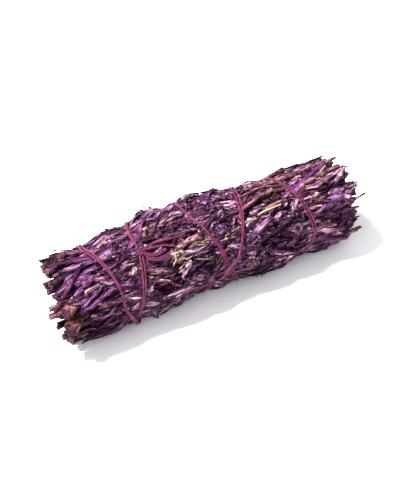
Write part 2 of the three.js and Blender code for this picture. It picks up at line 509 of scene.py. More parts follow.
def plant_grain_group() -> bpy.types.NodeTree:
    """Fibres and wrinkles along a leaf or stem, from its own unrolled surface.

    Returns:
        The shader group.
    """
    group = new_group("plant_grain", {"Fibres": 9.0, "Length": 1.6, "Seed": 0.0}, ("Grain", "Creases"))
    bench = NodeBench(group)
    given = bench.add("NodeGroupInput")
    stretch = bench.add("ShaderNodeCombineXYZ", {"X": given.outputs["Fibres"],
                                                 "Y": given.outputs["Length"], "Z": 1.0})
    scaled = bench.add("ShaderNodeVectorMath", {0: bench.unrolled(), 1: stretch.outputs[0]},
                       operation="MULTIPLY").outputs[0]
    shift = bench.add("ShaderNodeCombineXYZ", {key: given.outputs["Seed"] for key in "XYZ"})
    moved = bench.add("ShaderNodeVectorMath", {0: scaled, 1: shift.outputs[0]},
                      operation="ADD").outputs[0]
    grain = bench.add("ShaderNodeTexNoise", {"Vector": moved, "Scale": 1.0,
                                             "Detail": 5.0, "Roughness": 0.6, "Distortion": 0.4})
    creases = bench.add("ShaderNodeTexNoise", {"Vector": moved, "Scale": 0.45,
                                               "Detail": 2.0, "Roughness": 0.5, "Distortion": 1.2})
    out = bench.add("NodeGroupOutput")
    bench.feed(out, "Grain", bench.span(grain.outputs["Fac"], 0.38, 0.62))
    bench.feed(out, "Creases", bench.span(creases.outputs["Fac"], 0.4, 0.6))
    return group


class Finishes:
    """Builds each shared shader group once."""

    _groups: dict[str, bpy.types.NodeTree] = {}

    @classmethod
    def group(cls, name: str) -> bpy.types.NodeTree:
        """Makes a shared group the first time that it is asked for.

        Args:
            name: the group's name.

        Returns:
            The shader group.
        """
        makers = {"dye_mottle": dye_mottle_group, "plant_grain": plant_grain_group}
        if name not in cls._groups:
            cls._groups[name] = makers[name]()
        return cls._groups[name]

    @classmethod
    def use(cls, bench: NodeBench, name: str, **inputs: object) -> bpy.types.Node:
        """A node that uses a shared group with its own values.

        Args:
            bench: the material's node bench.
            name: the group's name.
            **inputs: values or sockets by input name.

        Returns:
            The group node.
        """
        return bench.add("ShaderNodeGroup", inputs, node_tree=cls.group(name))


def new_material(name: str) -> tuple[bpy.types.Material, NodeBench, bpy.types.Node]:
    """Starts a material.

    Args:
        name: the material's name.

    Returns:
        The material, a bench for its tree, and its Principled shader.
    """
    material = bpy.data.materials.new(name)
    material.use_nodes = True
    return material, NodeBench(material.node_tree), material.node_tree.nodes["Principled BSDF"]


def ramp(bench: NodeBench, value: object, stops: Stops) -> bpy.types.NodeSocket:
    """A colour ramp on a value.

    Args:
        bench: the material's node bench.
        value: socket to colour.
        stops: positions and colours, in order.

    Returns:
        The colour output.
    """
    node = bench.add("ShaderNodeValToRGB", {"Fac": value})
    elements = node.color_ramp.elements
    while len(elements) > 1:
        elements.remove(elements[-1])
    elements[0].position, elements[0].color = stops[0]
    for position, color in stops[1:]:
        elements.new(position).color = color
    return node.outputs["Color"]


@dataclass(frozen=True)
class HerbFinish:
    """Dried, dyed leaf or stem.

    Attributes:
        name: the material's name.
        palette: colours over the tint that each leaf or stem carries.
        under: colour of the backs of the leaves: painted shade, darker than the fronts.
        under_share: how much of it shows.
        worn: colour of rubbed spots, which wear sets the share of.
        cut: colour of the pith at cut and broken ends.
        grain_and_painted_light: what the colour is multiplied by across the grain: fibre grain, with painted
            highlight on the raised fibres and painted shade in the grooves between them.
        depth: share of its colour left by the depth of the dye.
        palest: colour that nothing in it is paler than.
        painted_margin_shade: painted shade that darkens each leaf toward its edges.
        wear: share of rubbed spots.
        fibres: fibres across the surface.
        roughness: mean roughness.
        relief: depth of the grain in metres.
    """

    name: str
    palette: Stops
    under: Rgba
    under_share: float
    worn: Rgba
    cut: Rgba
    grain_and_painted_light: Stops = (
        (0.0, (2.05, 2.9, 1.95, 1.0)), (0.4, (1.08, 1.14, 1.08, 1.0)), (0.75, (0.4, 0.22, 0.42, 1.0)),
        (1.0, (0.14, 0.03, 0.16, 1.0)))
    depth: float = 0.8
    palest: Rgba = tone(180, 150, 168)
    painted_margin_shade: float = 0.85
    wear: float = 0.25
    fibres: float = 4.2
    roughness: float = 0.55
    relief: float = 0.00024

    def material(self) -> bpy.types.Material:
        """Builds the material.

        Returns:
            The material.
        """
        material, bench, shader = new_material(self.name)
        tint, under, pith = bench.read("tint"), bench.read("under"), bench.read("pith")
        seed = bench.math("MULTIPLY", tint, 91.0)
        grain = Finishes.use(bench, "plant_grain", Fibres=self.fibres, Length=3.2, Seed=seed)
        dye = Finishes.use(bench, "dye_mottle", Scale=240.0, Contrast=1.3)
        drift = bench.math("MULTIPLY_ADD", bench.math("SUBTRACT", dye.outputs["Patches"], 0.5), 0.12, tint)
        base = ramp(bench, drift, self.palette)
        # Grain ramp: painted highlight on the raised fibres, painted shade in the grooves between them.
        grain_and_painted_light = ramp(bench, grain.outputs["Grain"], self.grain_and_painted_light)
        deep = bench.blend(1.0, base, grain_and_painted_light, "MULTIPLY")
        # Painted shade in the creases and painted highlight on the raised wrinkles.
        painted_fold_shading = ramp(bench, grain.outputs["Creases"], ((0.0, gray(0.5)), (0.5, gray(1.0)), (1.0, gray(1.25))))
        deep = bench.blend(1.0, deep, painted_fold_shading, "MULTIPLY")
        # Painted highlight along the middle of each leaf and painted shade toward its edges.
        across = bench.add("ShaderNodeSeparateXYZ", {0: bench.unrolled()}).outputs["X"]
        centred = bench.math("SUBTRACT", bench.math("MULTIPLY", across, 2.0), 1.0)
        painted_crest_shading = ramp(bench, bench.math("ABSOLUTE", centred),
                     ((0.0, gray(1.3 * self.depth)), (0.35, gray(self.depth)),
                      (0.75, gray((1.0 - 0.55 * self.painted_margin_shade) * self.depth)),
                      (1.0, gray((1.0 - 0.85 * self.painted_margin_shade) * self.depth))))
        deep = bench.blend(1.0, deep, painted_crest_shading, "MULTIPLY")
        deep = bench.blend(1.0, deep, self.palest, "DARKEN")
        # The backs take the under colour as painted shade.
        backs = bench.blend(bench.math("MULTIPLY", under, self.under_share), deep, self.under)
        rubbed = bench.math("MULTIPLY", dye.outputs["Specks"], self.wear)
        worn = bench.blend(rubbed, backs, self.worn)
        ends = bench.blend(pith, worn, self.cut)
        bench.feed(shader, "Base Color", ends)
        gloss = bench.math("MULTIPLY_ADD", grain.outputs["Creases"], 0.22, self.roughness - 0.11)
        bench.feed(shader, "Roughness", gloss)
        height = bench.math("ADD", grain.outputs["Grain"],
                            bench.math("MULTIPLY", grain.outputs["Creases"], 1.4))
        bump = bench.add("ShaderNodeBump", {"Strength": 0.8, "Distance": self.relief, "Height": height})
        bench.feed(shader, "Normal", bump.outputs["Normal"])
        shader.inputs["Specular IOR Level"].default_value = 0.07
        shader.inputs["Specular Tint"].default_value = (1.0, 0.62, 0.86, 1.0)
        return material


@dataclass(frozen=True)
class CottonFinish:
    """Dyed cotton thread, twisted from fine fibres.

    Attributes:
        name: the material's name.
        shade, body, lit: colours of the thread's grooves, its body and its raised fibres.
        faded: colour of lengths that took the dye differently.
        fibres: fibre ridges round the thread.
        slant: how far a fibre leans as it goes round.
    """

    name: str
    shade: Rgba
    body: Rgba
    lit: Rgba
    faded: Rgba
    fibres: float = 5.0
    slant: float = 9.0

    def material(self) -> bpy.types.Material:
        """Builds the material.

        Returns:
            The material.
        """
        material, bench, shader = new_material(self.name)
        parts = bench.add("ShaderNodeSeparateXYZ", {0: bench.unrolled()})
        turned = bench.math("ADD", bench.math("MULTIPLY", parts.outputs["X"], self.fibres),
                            bench.math("MULTIPLY", parts.outputs["Y"], self.slant))
        ridge = bench.math("SINE", bench.math("MULTIPLY", turned, 2 * math.pi))
        ridge = bench.span(ridge, -1.0, 1.0)
        dye = Finishes.use(bench, "dye_mottle", Scale=420.0, Contrast=1.2)
        level = bench.math("ADD", bench.math("MULTIPLY", ridge, 0.45),
                           bench.math("MULTIPLY", dye.outputs["Patches"], 0.55))
        color = ramp(bench, level, ((0.0, self.shade), (0.45, self.body), (1.0, self.lit)))
        lengths = Finishes.use(bench, "dye_mottle", Scale=70.0, Contrast=1.6)
        share = bench.math("MULTIPLY", lengths.outputs["Patches"], 0.75)
        color = bench.blend(share, color, self.faded)
        bench.feed(shader, "Base Color", color)
        bump = bench.add("ShaderNodeBump", {"Strength": 0.7, "Distance": 0.00006, "Height": ridge})
        bench.feed(shader, "Normal", bump.outputs["Normal"])
        shader.inputs["Roughness"].default_value = 0.52
        shader.inputs["Specular IOR Level"].default_value = 0.3
        shader.inputs["Specular Tint"].default_value = (1.0, 0.5, 0.8, 1.0)
        return material


# Its darkest stops serve mostly as painted shade for the deepest leaves and the hollows.
LEAF_PALETTE = (
    (0.00, tone(12, 1, 12)),
    (0.14, tone(44, 12, 43)),
    (0.30, tone(82, 38, 76)),
    (0.42, tone(90, 53, 100)),
    (0.54, tone(128, 83, 117)),
    (0.66, tone(152, 112, 136)),
    (0.75, tone(174, 138, 156)),
    (0.80, tone(78, 38, 54)),
    (0.90, tone(112, 72, 82)),
    (1.00, tone(146, 110, 118)),
)
STEM_PALETTE = (
    (0.00, tone(20, 9, 15)),
    (0.30, tone(54, 30, 42)),
    (0.52, tone(90, 58, 74)),
    (0.70, tone(84, 51, 56)),
    (0.86, tone(104, 72, 78)),
    (0.93, tone(110, 68, 60)),
    (1.00, tone(156, 115, 121)),
)
STRAW_PALETTE = (
    (0.00, tone(108, 80, 74)),
    (0.40, tone(176, 148, 128)),
    (0.70, tone(214, 192, 172)),
    (1.00, tone(212, 178, 174)),
)


# ---- Meshes ------------------------------------------------------------------------------------


def closed_loft(rings: np.ndarray, name: str, shades: dict[str, np.ndarray],
                uv: np.ndarray) -> bpy.types.Object:
    """A closed skin over rings of points, with flat ends.

    Args:
        rings: points as (ring, place in ring, 3).
        name: the object's name.
        shades: named numbers for each point, in the same order.
        uv: unrolled place of each point, as (ring, place in ring, 2).

    Returns:
        An object that isn't linked to the scene.
    """
    count, sides = rings.shape[:2]
    index = np.arange(count * sides).reshape(count, sides)
    nxt = np.roll(index, -1, axis=1)
    quads = np.stack([index[:-1], nxt[:-1], nxt[1:], index[1:]], -1).reshape(-1, 4)
    faces = quads.tolist() + [index[0, ::-1].tolist(), index[-1].tolist()]
    mesh = bpy.data.meshes.new(name)
    mesh.from_pydata(rings.reshape(-1, 3).tolist(), [], faces)
    for key, values in shades.items():
        store(mesh, key, "FLOAT", values)
    corner = np.zeros(len(mesh.loops), int)
    mesh.loops.foreach_get("vertex_index", corner)
    layer = mesh.uv_layers.new(name=UV_NAME)
    layer.data.foreach_set("uv", uv.reshape(-1, 2)[corner].astype(np.float32).ravel())
    mesh.shade_smooth()
    return bpy.data.objects.new(name, mesh)


def tube(path: np.ndarray, side: np.ndarray, up: np.ndarray, reach: np.ndarray) -> np.ndarray:
    """Rings of points round a line.

    Args:
        path: the line's points.
        side, up: two directions square to the line at each point.
        reach: distance of each point of each ring from the line, as (ring, place in ring).

    Returns:
        The rings, as (ring, place in ring, 3).
    """
    around = np.linspace(0, 2 * math.pi, reach.shape[1], endpoint=False)[None, :]
    return path[:, None] + reach[..., None] * (np.cos(around)[..., None] * side[:, None]
                                               + np.sin(around)[..., None] * up[:, None])


class Growth(Enum):
    """Kinds of leaf and litter, each with the patterns cut for it."""

    STRAND = "strand"
    BLADE = "blade"
    CURL = "curl"
    FLAKE = "flake"
    SHRED = "shred"
    FIBRE = "fibre"
    STRAW = "straw"
    FLORET = "floret"
    LINT = "lint"


ALL_STATIONS = (0, 1, 2, 3, 4, 5, 6, 7)
FEW_STATIONS = (0, 1, 3, 5, 6, 7)


@dataclass(frozen=True)
class LeafCut:
    """Pattern of one dried leaf or scrap, from its base at the origin along +X.

    Attributes:
        growth: what it is.
        length, width, thickness: its size laid flat.
        cup: radians that the blade turns from edge to edge; below 0 the edges roll under.
        bow: rise of the tip as a share of the length.
        twist: radians that it turns along its length.
        base, tip: width at the ends as shares of the width.
        ragged: unevenness of the edges as a share of the width.
    """

    growth: Growth
    length: float
    width: float
    thickness: float = 0.16
    cup: float = -2.0
    bow: float = 0.03
    twist: float = 0.3
    base: float = 0.6
    tip: float = 0.15
    ragged: float = 0.1

    def build(self, name: str, rng: np.random.Generator) -> bpy.types.Object:
        """Builds the pattern.

        Args:
            name: the object's name.
            rng: where its unevenness comes from.

        Returns:
            The leaf as an object in millimetres.
        """
        stations, across = 8, 4
        t = np.linspace(0.0, 1.0, stations)[:, None]
        s = np.linspace(-1.0, 1.0, across)[None, :]
        middle = np.sin(np.pi * np.clip(t, 0.0, 1.0)) ** 0.7
        share = self.base * (1 - t) + self.tip * t + middle * (1 - 0.5 * (self.base + self.tip))
        width = self.width * share * (1 + self.ragged * rng.normal(size=(stations, 1)))
        width = np.maximum(width, 0.12 * self.width)
        cup = self.cup * (1 + 0.25 * rng.normal(size=(stations, 1)))
        cup = np.where(np.abs(cup) < 0.05, 0.05, cup)
        half = cup * s / 2
        bend = width / cup
        side = bend * np.sin(half)
        lift = bend * (1 - np.cos(half))
        normal_side, normal_lift = -np.sin(half), np.cos(half)
        half_thick = self.thickness / 2 * (0.75 + 0.25 * np.cos(np.pi * s / 2))
        top = np.stack([side + normal_side * half_thick, lift + normal_lift * half_thick], -1)
        back = np.stack([side - normal_side * half_thick, lift - normal_lift * half_thick], -1)
        ring = np.concatenate([top, back[:, ::-1]], 1)
        turn = self.twist * (t - 0.3) + 0.12 * rng.normal(size=(stations, 1)) * abs(self.twist)
        cosine, sine = np.cos(turn), np.sin(turn)
        turned_side = ring[..., 0] * cosine - ring[..., 1] * sine
        turned_lift = ring[..., 0] * sine + ring[..., 1] * cosine
        sway = self.length * 0.035 * np.sin(2.4 * t + rng.uniform(0, 6)) * rng.uniform(-1, 1)
        rise = self.length * self.bow * t**2 + self.width * 0.1 * np.sin(7 * t + rng.uniform(0, 6))
        along = self.length * t + self.width * self.ragged * rng.normal(size=ring.shape[:2])
        rings = np.stack([along, turned_side + sway, turned_lift + rise], -1)
        under = np.repeat(np.array([[0.0] * across + [1.0] * across]), stations, 0)
        u = np.concatenate([s, s[:, ::-1]], 1) * 0.5 + 0.5
        uv = np.stack([np.repeat(u, stations, 0), np.repeat(t, 2 * across, 1)], -1)
        kept = list(ALL_STATIONS if self.growth is Growth.STRAND else FEW_STATIONS)
        return closed_loft(rings[kept, ::-1], name, {"under": under[kept, ::-1]}, uv[kept, ::-1])


@dataclass
class CuttingBoard:
    """All leaf patterns, in one collection that leaves are picked from by number."""

    cuts: tuple[LeafCut, ...] = (
        LeafCut(Growth.STRAND, 20.0, 3.4, 0.3, cup=-3.6, base=0.75, tip=0.35, twist=0.3),
        LeafCut(Growth.STRAND, 24.0, 3.0, 0.3, cup=-4.2, base=0.8, tip=0.4, bow=0.02, twist=-0.5),
        LeafCut(Growth.STRAND, 17.0, 3.8, 0.3, cup=-3.0, base=0.6, tip=0.3, twist=0.7),
        LeafCut(Growth.STRAND, 21.0, 2.8, 0.35, cup=3.4, base=0.7, tip=0.5, twist=-0.3),
        LeafCut(Growth.STRAND, 15.0, 3.2, 0.3, cup=-4.6, base=0.5, tip=0.25, twist=1.0),
        LeafCut(Growth.BLADE, 12.0, 3.0, 0.2, cup=-2.4, twist=0.5),
        LeafCut(Growth.BLADE, 10.0, 2.6, 0.18, cup=1.9, bow=0.08, twist=-0.7),
        LeafCut(Growth.BLADE, 13.5, 2.4, 0.18, cup=-3.2, tip=0.08, twist=0.9),
        LeafCut(Growth.BLADE, 9.0, 3.2, 0.2, cup=-1.6, bow=-0.03, ragged=0.16, twist=0.4),
        LeafCut(Growth.BLADE, 11.0, 2.2, 0.18, cup=2.8, bow=0.05, twist=1.2),
        LeafCut(Growth.BLADE, 14.0, 2.8, 0.2, cup=-2.8, base=0.4, tip=0.1, twist=-1.0),
        LeafCut(Growth.CURL, 6.0, 2.2, 0.18, cup=-3.6, bow=0.24, twist=0.8),
        LeafCut(Growth.CURL, 5.0, 2.0, 0.18, cup=3.0, bow=0.3, twist=-1.0),
        LeafCut(Growth.CURL, 7.0, 1.9, 0.16, cup=-4.2, bow=-0.16, twist=1.6),
        LeafCut(Growth.CURL, 4.5, 2.6, 0.2, cup=2.2, bow=0.34, ragged=0.18, twist=0.4),
        LeafCut(Growth.CURL, 6.5, 1.6, 0.16, cup=-3.0, bow=0.2, twist=-1.8),
        LeafCut(Growth.FLAKE, 3.8, 1.7, 0.2, cup=-2.2, bow=0.2, ragged=0.2, twist=0.6),
        LeafCut(Growth.FLAKE, 3.2, 1.4, 0.2, cup=2.6, bow=0.26, ragged=0.22, twist=-0.9),
        LeafCut(Growth.FLAKE, 4.6, 1.4, 0.18, cup=-3.4, bow=0.14, ragged=0.16, twist=1.4),
        LeafCut(Growth.FLAKE, 2.8, 1.8, 0.2, cup=1.6, bow=0.3, base=0.8, tip=0.4, ragged=0.26),
        LeafCut(Growth.FLAKE, 4.2, 1.2, 0.2, cup=-4.0, bow=-0.2, base=0.8, tip=0.5, ragged=0.2),
        LeafCut(Growth.SHRED, 7.0, 1.4, 0.16, cup=-1.4, base=0.9, tip=0.7, ragged=0.22),
        LeafCut(Growth.SHRED, 9.0, 1.1, 0.16, cup=-2.2, base=0.8, tip=0.5, ragged=0.2, twist=1.4),
        LeafCut(Growth.SHRED, 5.5, 1.7, 0.16, cup=1.2, base=1.0, tip=0.8, ragged=0.25, twist=-0.6),
        LeafCut(Growth.SHRED, 11.0, 1.0, 0.18, cup=-2.6, base=0.9, tip=0.3, ragged=0.15, twist=0.8),
        LeafCut(Growth.FIBRE, 8.0, 0.34, 0.14, cup=-2.0, bow=0.12, base=0.9, tip=0.4, twist=1.0),
        LeafCut(Growth.FIBRE, 11.0, 0.28, 0.12, cup=-2.0, bow=-0.08, base=0.9, tip=0.3, twist=2.0),
        LeafCut(Growth.STRAW, 9.0, 0.8, 0.2, cup=-1.8, base=0.95, tip=0.8, ragged=0.1),
        LeafCut(Growth.STRAW, 6.0, 0.6, 0.2, cup=-2.4, base=0.9, tip=0.6, ragged=0.16, twist=0.8),
        LeafCut(Growth.STRAW, 11.0, 0.7, 0.2, cup=2.2, base=0.9, tip=0.9, ragged=0.08),
        LeafCut(Growth.FLORET, 2.4, 0.9, 0.25, cup=2.6, bow=0.3, ragged=0.3, twist=0.8),
        LeafCut(Growth.FLORET, 3.2, 0.7, 0.2, cup=-3.4, bow=-0.3, ragged=0.3, twist=-1.2),
        LeafCut(Growth.LINT, 2.4, 0.07, 0.05, cup=-1.0, bow=0.3, base=1.0, tip=0.6, twist=1.0),
        LeafCut(Growth.LINT, 3.4, 0.06, 0.05, cup=-1.0, bow=-0.24, base=1.0, tip=0.5, twist=2.0),
    )
    seed: int = 41

    def build(self) -> bpy.types.Collection:
        """Builds every pattern.

        Returns:
            A collection of them that isn't linked to the scene.
        """
        rng = np.random.default_rng(self.seed)
        board = bpy.data.collections.new("leaf_cuts")
        for number, cut in enumerate(self.cuts):
            board.objects.link(cut.build(f"cut_{number:02d}_{cut.growth.value}", rng))
        return board

    def numbers(self, growth: Growth) -> list[int]:
        """Numbers of the patterns of one growth."""
        return [i for i, cut in enumerate(self.cuts) if cut.growth is growth]


@dataclass(frozen=True)
class Seats:
    """Where leaves sit on one piece, one row for each leaf.

    Attributes:
        place: base of the leaf.
        turn: its turn as XYZ angles.
        size: scale along, across and through it.
        cut: number of its pattern.
        tint: place in the palette of its finish.
        pale: 1 for straw, flowers and fibres, 0 for leaves.
    """

    place: np.ndarray
    turn: np.ndarray
    size: np.ndarray
    cut: np.ndarray
    tint: np.ndarray
    pale: np.ndarray

    def as_object(self, name: str) -> bpy.types.Object:
        """Makes the seats a mesh of points that carry their numbers.

        Args:
            name: the object's name.

        Returns:
            The seats as an object, linked to the scene.
        """
        mesh = bpy.data.meshes.new(name)
        mesh.from_pydata(self.place.tolist(), [], [])
        for key, kind in (("turn", "FLOAT_VECTOR"), ("size", "FLOAT_VECTOR"), ("tint", "FLOAT"),
                          ("pale", "FLOAT"), ("cut", "INT")):
            store(mesh, key, kind, getattr(self, key))
        seats = bpy.data.objects.new(name, mesh)
        show(seats)
        return seats


class LeafScatter:
    """Geometry nodes that set a leaf on every seat and crumple it."""

    def __init__(self, board: bpy.types.Collection) -> None:
        """Builds the tree.

        Args:
            board: the collection of leaf patterns.
        """
        self.board = board
        self.tree = bpy.data.node_groups.new("leaf_scatter", "GeometryNodeTree")
        face = self.tree.interface
        face.new_socket("Seats", in_out="INPUT", socket_type="NodeSocketGeometry")
        self.inputs = {
            name: face.new_socket(name, in_out="INPUT", socket_type=kind).identifier
            for name, kind in (("Leaf cuts", "NodeSocketCollection"), ("Crumple", "NodeSocketFloat"),
                               ("Crumple size", "NodeSocketFloat"), ("Seed", "NodeSocketFloat"),
                               ("Leaf finish", "NodeSocketMaterial"),
                               ("Pale finish", "NodeSocketMaterial"))
        }
        face.new_socket("Leaves", in_out="OUTPUT", socket_type="NodeSocketGeometry")
        self._wire()

    def _wire(self) -> None:
        """Adds and joins the nodes."""
        bench = NodeBench(self.tree)
        given = bench.add("NodeGroupInput").outputs
        cuts = bench.add("GeometryNodeCollectionInfo",
                         {"Collection": given["Leaf cuts"], "Separate Children": True,
                          "Reset Children": True})
        read = {
            name: bench.add("GeometryNodeInputNamedAttribute", {"Name": name}, data_type=kind).outputs[0]
            for name, kind in (("turn", "FLOAT_VECTOR"), ("size", "FLOAT_VECTOR"),
                               ("cut", "INT"), ("pale", "FLOAT"))
        }
        turn = bench.add("FunctionNodeEulerToRotation", {0: read["turn"]}).outputs[0]
        placed = bench.add("GeometryNodeInstanceOnPoints",
                           {"Points": given["Seats"], "Instance": cuts.outputs[0],
                            "Pick Instance": True, "Instance Index": read["cut"],
                            "Rotation": turn, "Scale": read["size"]})
        real = bench.add("GeometryNodeRealizeInstances", {"Geometry": placed.outputs[0]})
        place = bench.add("GeometryNodeInputPosition").outputs[0]
        noise = bench.add("ShaderNodeTexNoise", {"Vector": place, "W": given["Seed"],
                                                 "Scale": given["Crumple size"], "Detail": 3.0},
                          noise_dimensions="4D")
        centred = bench.add("ShaderNodeVectorMath", {0: noise.outputs["Color"], 1: (0.5, 0.5, 0.5)},
                            operation="SUBTRACT").outputs[0]
        stiff = bench.math("SUBTRACT", 1.0, bench.math("MULTIPLY", read["pale"], 0.7))
        push = bench.add("ShaderNodeVectorMath",
                         {0: centred, "Scale": bench.math("MULTIPLY", given["Crumple"], stiff)},
                         operation="SCALE").outputs[0]
        crumpled = bench.add("GeometryNodeSetPosition", {"Geometry": real.outputs[0], "Offset": push})
        dressed = bench.add("GeometryNodeSetMaterial",
                            {"Geometry": crumpled.outputs[0], "Material": given["Leaf finish"]})
        is_pale = bench.add("FunctionNodeCompare", {0: read["pale"], 1: 0.5},
                            data_type="FLOAT", operation="GREATER_THAN").outputs[0]
        dressed = bench.add("GeometryNodeSetMaterial",
                            {"Geometry": dressed.outputs[0], "Selection": is_pale,
                             "Material": given["Pale finish"]})
        out = bench.add("NodeGroupOutput")
        bench.feed(out, 0, dressed.outputs[0])

    def scatter(self, seats: Seats, name: str, crumple: float, crumple_size: float, seed: float,
                leaf: bpy.types.Material, pale: bpy.types.Material) -> bpy.types.Object:
        """Sets and crumples the leaves of one piece.

        Args:
            seats: where they sit.
            name: the object's name.
            crumple: how far a point is pushed.
            crumple_size: wrinkles a millimetre.
            seed: start of the wrinkles.
            leaf: finish of leaves.
            pale: finish of straw, flowers and fibres.

        Returns:
            The leaves as one plain mesh, linked to the scene.
        """
        seat_object = seats.as_object(f"{name}_seats")
        modifier = seat_object.modifiers.new("leaves", "NODES")
        modifier.node_group = self.tree
        for key, value in (("Leaf cuts", self.board), ("Crumple", crumple),
                           ("Crumple size", crumple_size), ("Seed", seed),
                           ("Leaf finish", leaf), ("Pale finish", pale)):
            modifier[self.inputs[key]] = value
        graph = bpy.context.evaluated_depsgraph_get()
        mesh = bpy.data.meshes.new_from_object(seat_object.evaluated_get(graph),
                                               preserve_all_data_layers=True, depsgraph=graph)
        bpy.data.objects.remove(seat_object)
        leaves = bpy.data.objects.new(name, mesh)
        show(leaves)
        return leaves


def turned(yaw: np.ndarray, pitch: np.ndarray, roll: np.ndarray, lean: np.ndarray) -> np.ndarray:
    """XYZ angles of a leaf that is rolled, pitched up, yawed, then leant round the bundle.

    Args:
        yaw: turn about the outward direction.
        pitch: rise of the tip.
        roll: turn about its own length.
        lean: turn about the bundle's length.

    Returns:
        Angles as (leaf, 3).
    """
    def about(axis: int, angle: np.ndarray) -> np.ndarray:
        """Matrices that turn about one axis.

        Args:
            axis: 0, 1 or 2 for X, Y or Z.
            angle: the turns, in radians.

        Returns:
            The matrices, as (turn, 3, 3).
        """
        matrix = np.zeros((len(angle), 3, 3))
        i, j = (axis + 1) % 3, (axis + 2) % 3
        matrix[:, axis, axis] = 1.0
        matrix[:, i, i] = matrix[:, j, j] = np.cos(angle)
        matrix[:, i, j], matrix[:, j, i] = -np.sin(angle), np.sin(angle)
        return matrix

    whole = about(0, lean) @ about(2, yaw) @ about(1, -pitch) @ about(0, roll)
    return np.stack([np.arctan2(whole[:, 2, 1], whole[:, 2, 2]),
                     -np.arcsin(np.clip(whole[:, 2, 0], -1, 1)),
                     np.arctan2(whole[:, 1, 0], whole[:, 0, 0])], -1)


# ---- Sprigs ------------------------------------------------------------------------------------


@dataclass(frozen=True)
class Stretch:
    """How the leaves grow along one stretch of the bundle.

    Attributes:
        start, end: where it lies along the bundle.
        shares: how often each growth comes.
        yaw: spread of the leaves' directions, degrees.
        lift: mean rise of their tips, degrees.
        warm: share of leaves that are brown or tan.
        reversed: share of leaves whose tips point to the cut end.
        bulk: how much wider than its pattern a leaf is.
        density: share of the outer leaves that are there.
    """

    start: float
    end: float
    shares: dict[Growth, float]
    yaw: float
    lift: float
    warm: float
    reversed: float = 0.25
    bulk: float = 1.15
    density: float = 1.0


STRETCHES = (
    Stretch(-66, -37, {Growth.STRAND: 0.84, Growth.BLADE: 0.12, Growth.SHRED: 0.04},
            13, 2.0, 0.12, 0.6, 1.15, 0.8),
    Stretch(-37, -26, {Growth.CURL: 0.55, Growth.BLADE: 0.25, Growth.SHRED: 0.2}, 32, 5, 0.18),
    Stretch(-26, 1, {Growth.BLADE: 0.34, Growth.CURL: 0.36, Growth.SHRED: 0.2, Growth.STRAND: 0.1},
            22, 4, 0.12),
    Stretch(1, 13, {Growth.CURL: 0.46, Growth.SHRED: 0.34, Growth.BLADE: 0.2}, 34, 4, 0.14),
    Stretch(13, 34, {Growth.BLADE: 0.36, Growth.SHRED: 0.22, Growth.STRAND: 0.16, Growth.CURL: 0.26},
            17, 3.5, 0.15),
    Stretch(34, 60, {Growth.BLADE: 0.2, Growth.STRAND: 0.44, Growth.SHRED: 0.18, Growth.CURL: 0.18},
            17, 4, 0.2, 0.15, 1.3, 0.85),
)


@dataclass(frozen=True)
class Tuft:
    """A patch of pale litter caught in the leaves.

    Attributes:
        x: place along the bundle.
        angle: degrees up the front.
        growth: what it is made of.
        count: how many pieces.
        reach: how far they spread, millimetres.
        height: how far they stand over the leaves.
    """

    x: float
    angle: float
    growth: Growth
    count: int
    reach: float
    height: float = 0.2


TUFTS = (
    Tuft(-17.0, 50, Growth.STRAW, 4, 4.0, 0.2),
    Tuft(-8.0, 54, Growth.STRAW, 4, 3.5, 0.4),
    Tuft(-10.5, 60, Growth.FLORET, 7, 4.0, 0.2),
    Tuft(-14.0, 50, Growth.FLORET, 6, 5.0, 0.3),
    Tuft(-18.0, 42, Growth.FIBRE, 7, 5.0, 0.2),
    Tuft(-12.0, 34, Growth.FIBRE, 5, 7.0, 0.2),
    Tuft(-20.0, 30, Growth.FIBRE, 3, 6.0, 0.2),
    Tuft(12.5, 56, Growth.FLORET, 13, 2.4, 0.3),
    Tuft(14.0, 58, Growth.STRAW, 3, 3.0, 0.3),
    Tuft(19.0, 60, Growth.STRAW, 1, 3.0, 0.2),
    Tuft(1.5, 46, Growth.STRAW, 3, 2.0, 0.3),
    Tuft(41.0, 77, Growth.STRAW, 4, 2.0, 0.4),
)


@dataclass(frozen=True)
class Pocket:
    """A hollow where top leaves are missing and darker ones show, their dark tint painted shade.

    Attributes:
        x: place along the bundle.
        angle: degrees up the front.
        reach: half its length; it is half as wide.
        tint: place in the leaf palette of what shows in it, darker than the rest as painted shade.
    """

    x: float
    angle: float
    reach: float
    tint: float = 0.2

    def holds(self, x: float, angle: float, radius: float) -> bool:
        """Whether a place lies in it.

        Args:
            x: place along the bundle.
            angle: angle up the front, radians.
            radius: radius of the bundle.

        Returns:
            True inside it.
        """
        around = angle - math.radians(self.angle)
        around = math.atan2(math.sin(around), math.cos(around)) * radius
        return math.hypot(x - self.x, 2 * around) < self.reach


POCKETS = (
    Pocket(-19.0, 30, 10.0, 0.3),
    Pocket(-8.0, 31, 7.0, 0.3),
    Pocket(-13.0, 60, 4.5, 0.06),
    Pocket(21.0, 22, 7.0, 0.1),
    Pocket(33.0, 38, 5.0, 0.1),
    Pocket(44.0, 60, 6.0, 0.12),
    Pocket(-33.0, 66, 4.0, 0.12),
    Pocket(-45.0, 34, 5.0, 0.04),
)


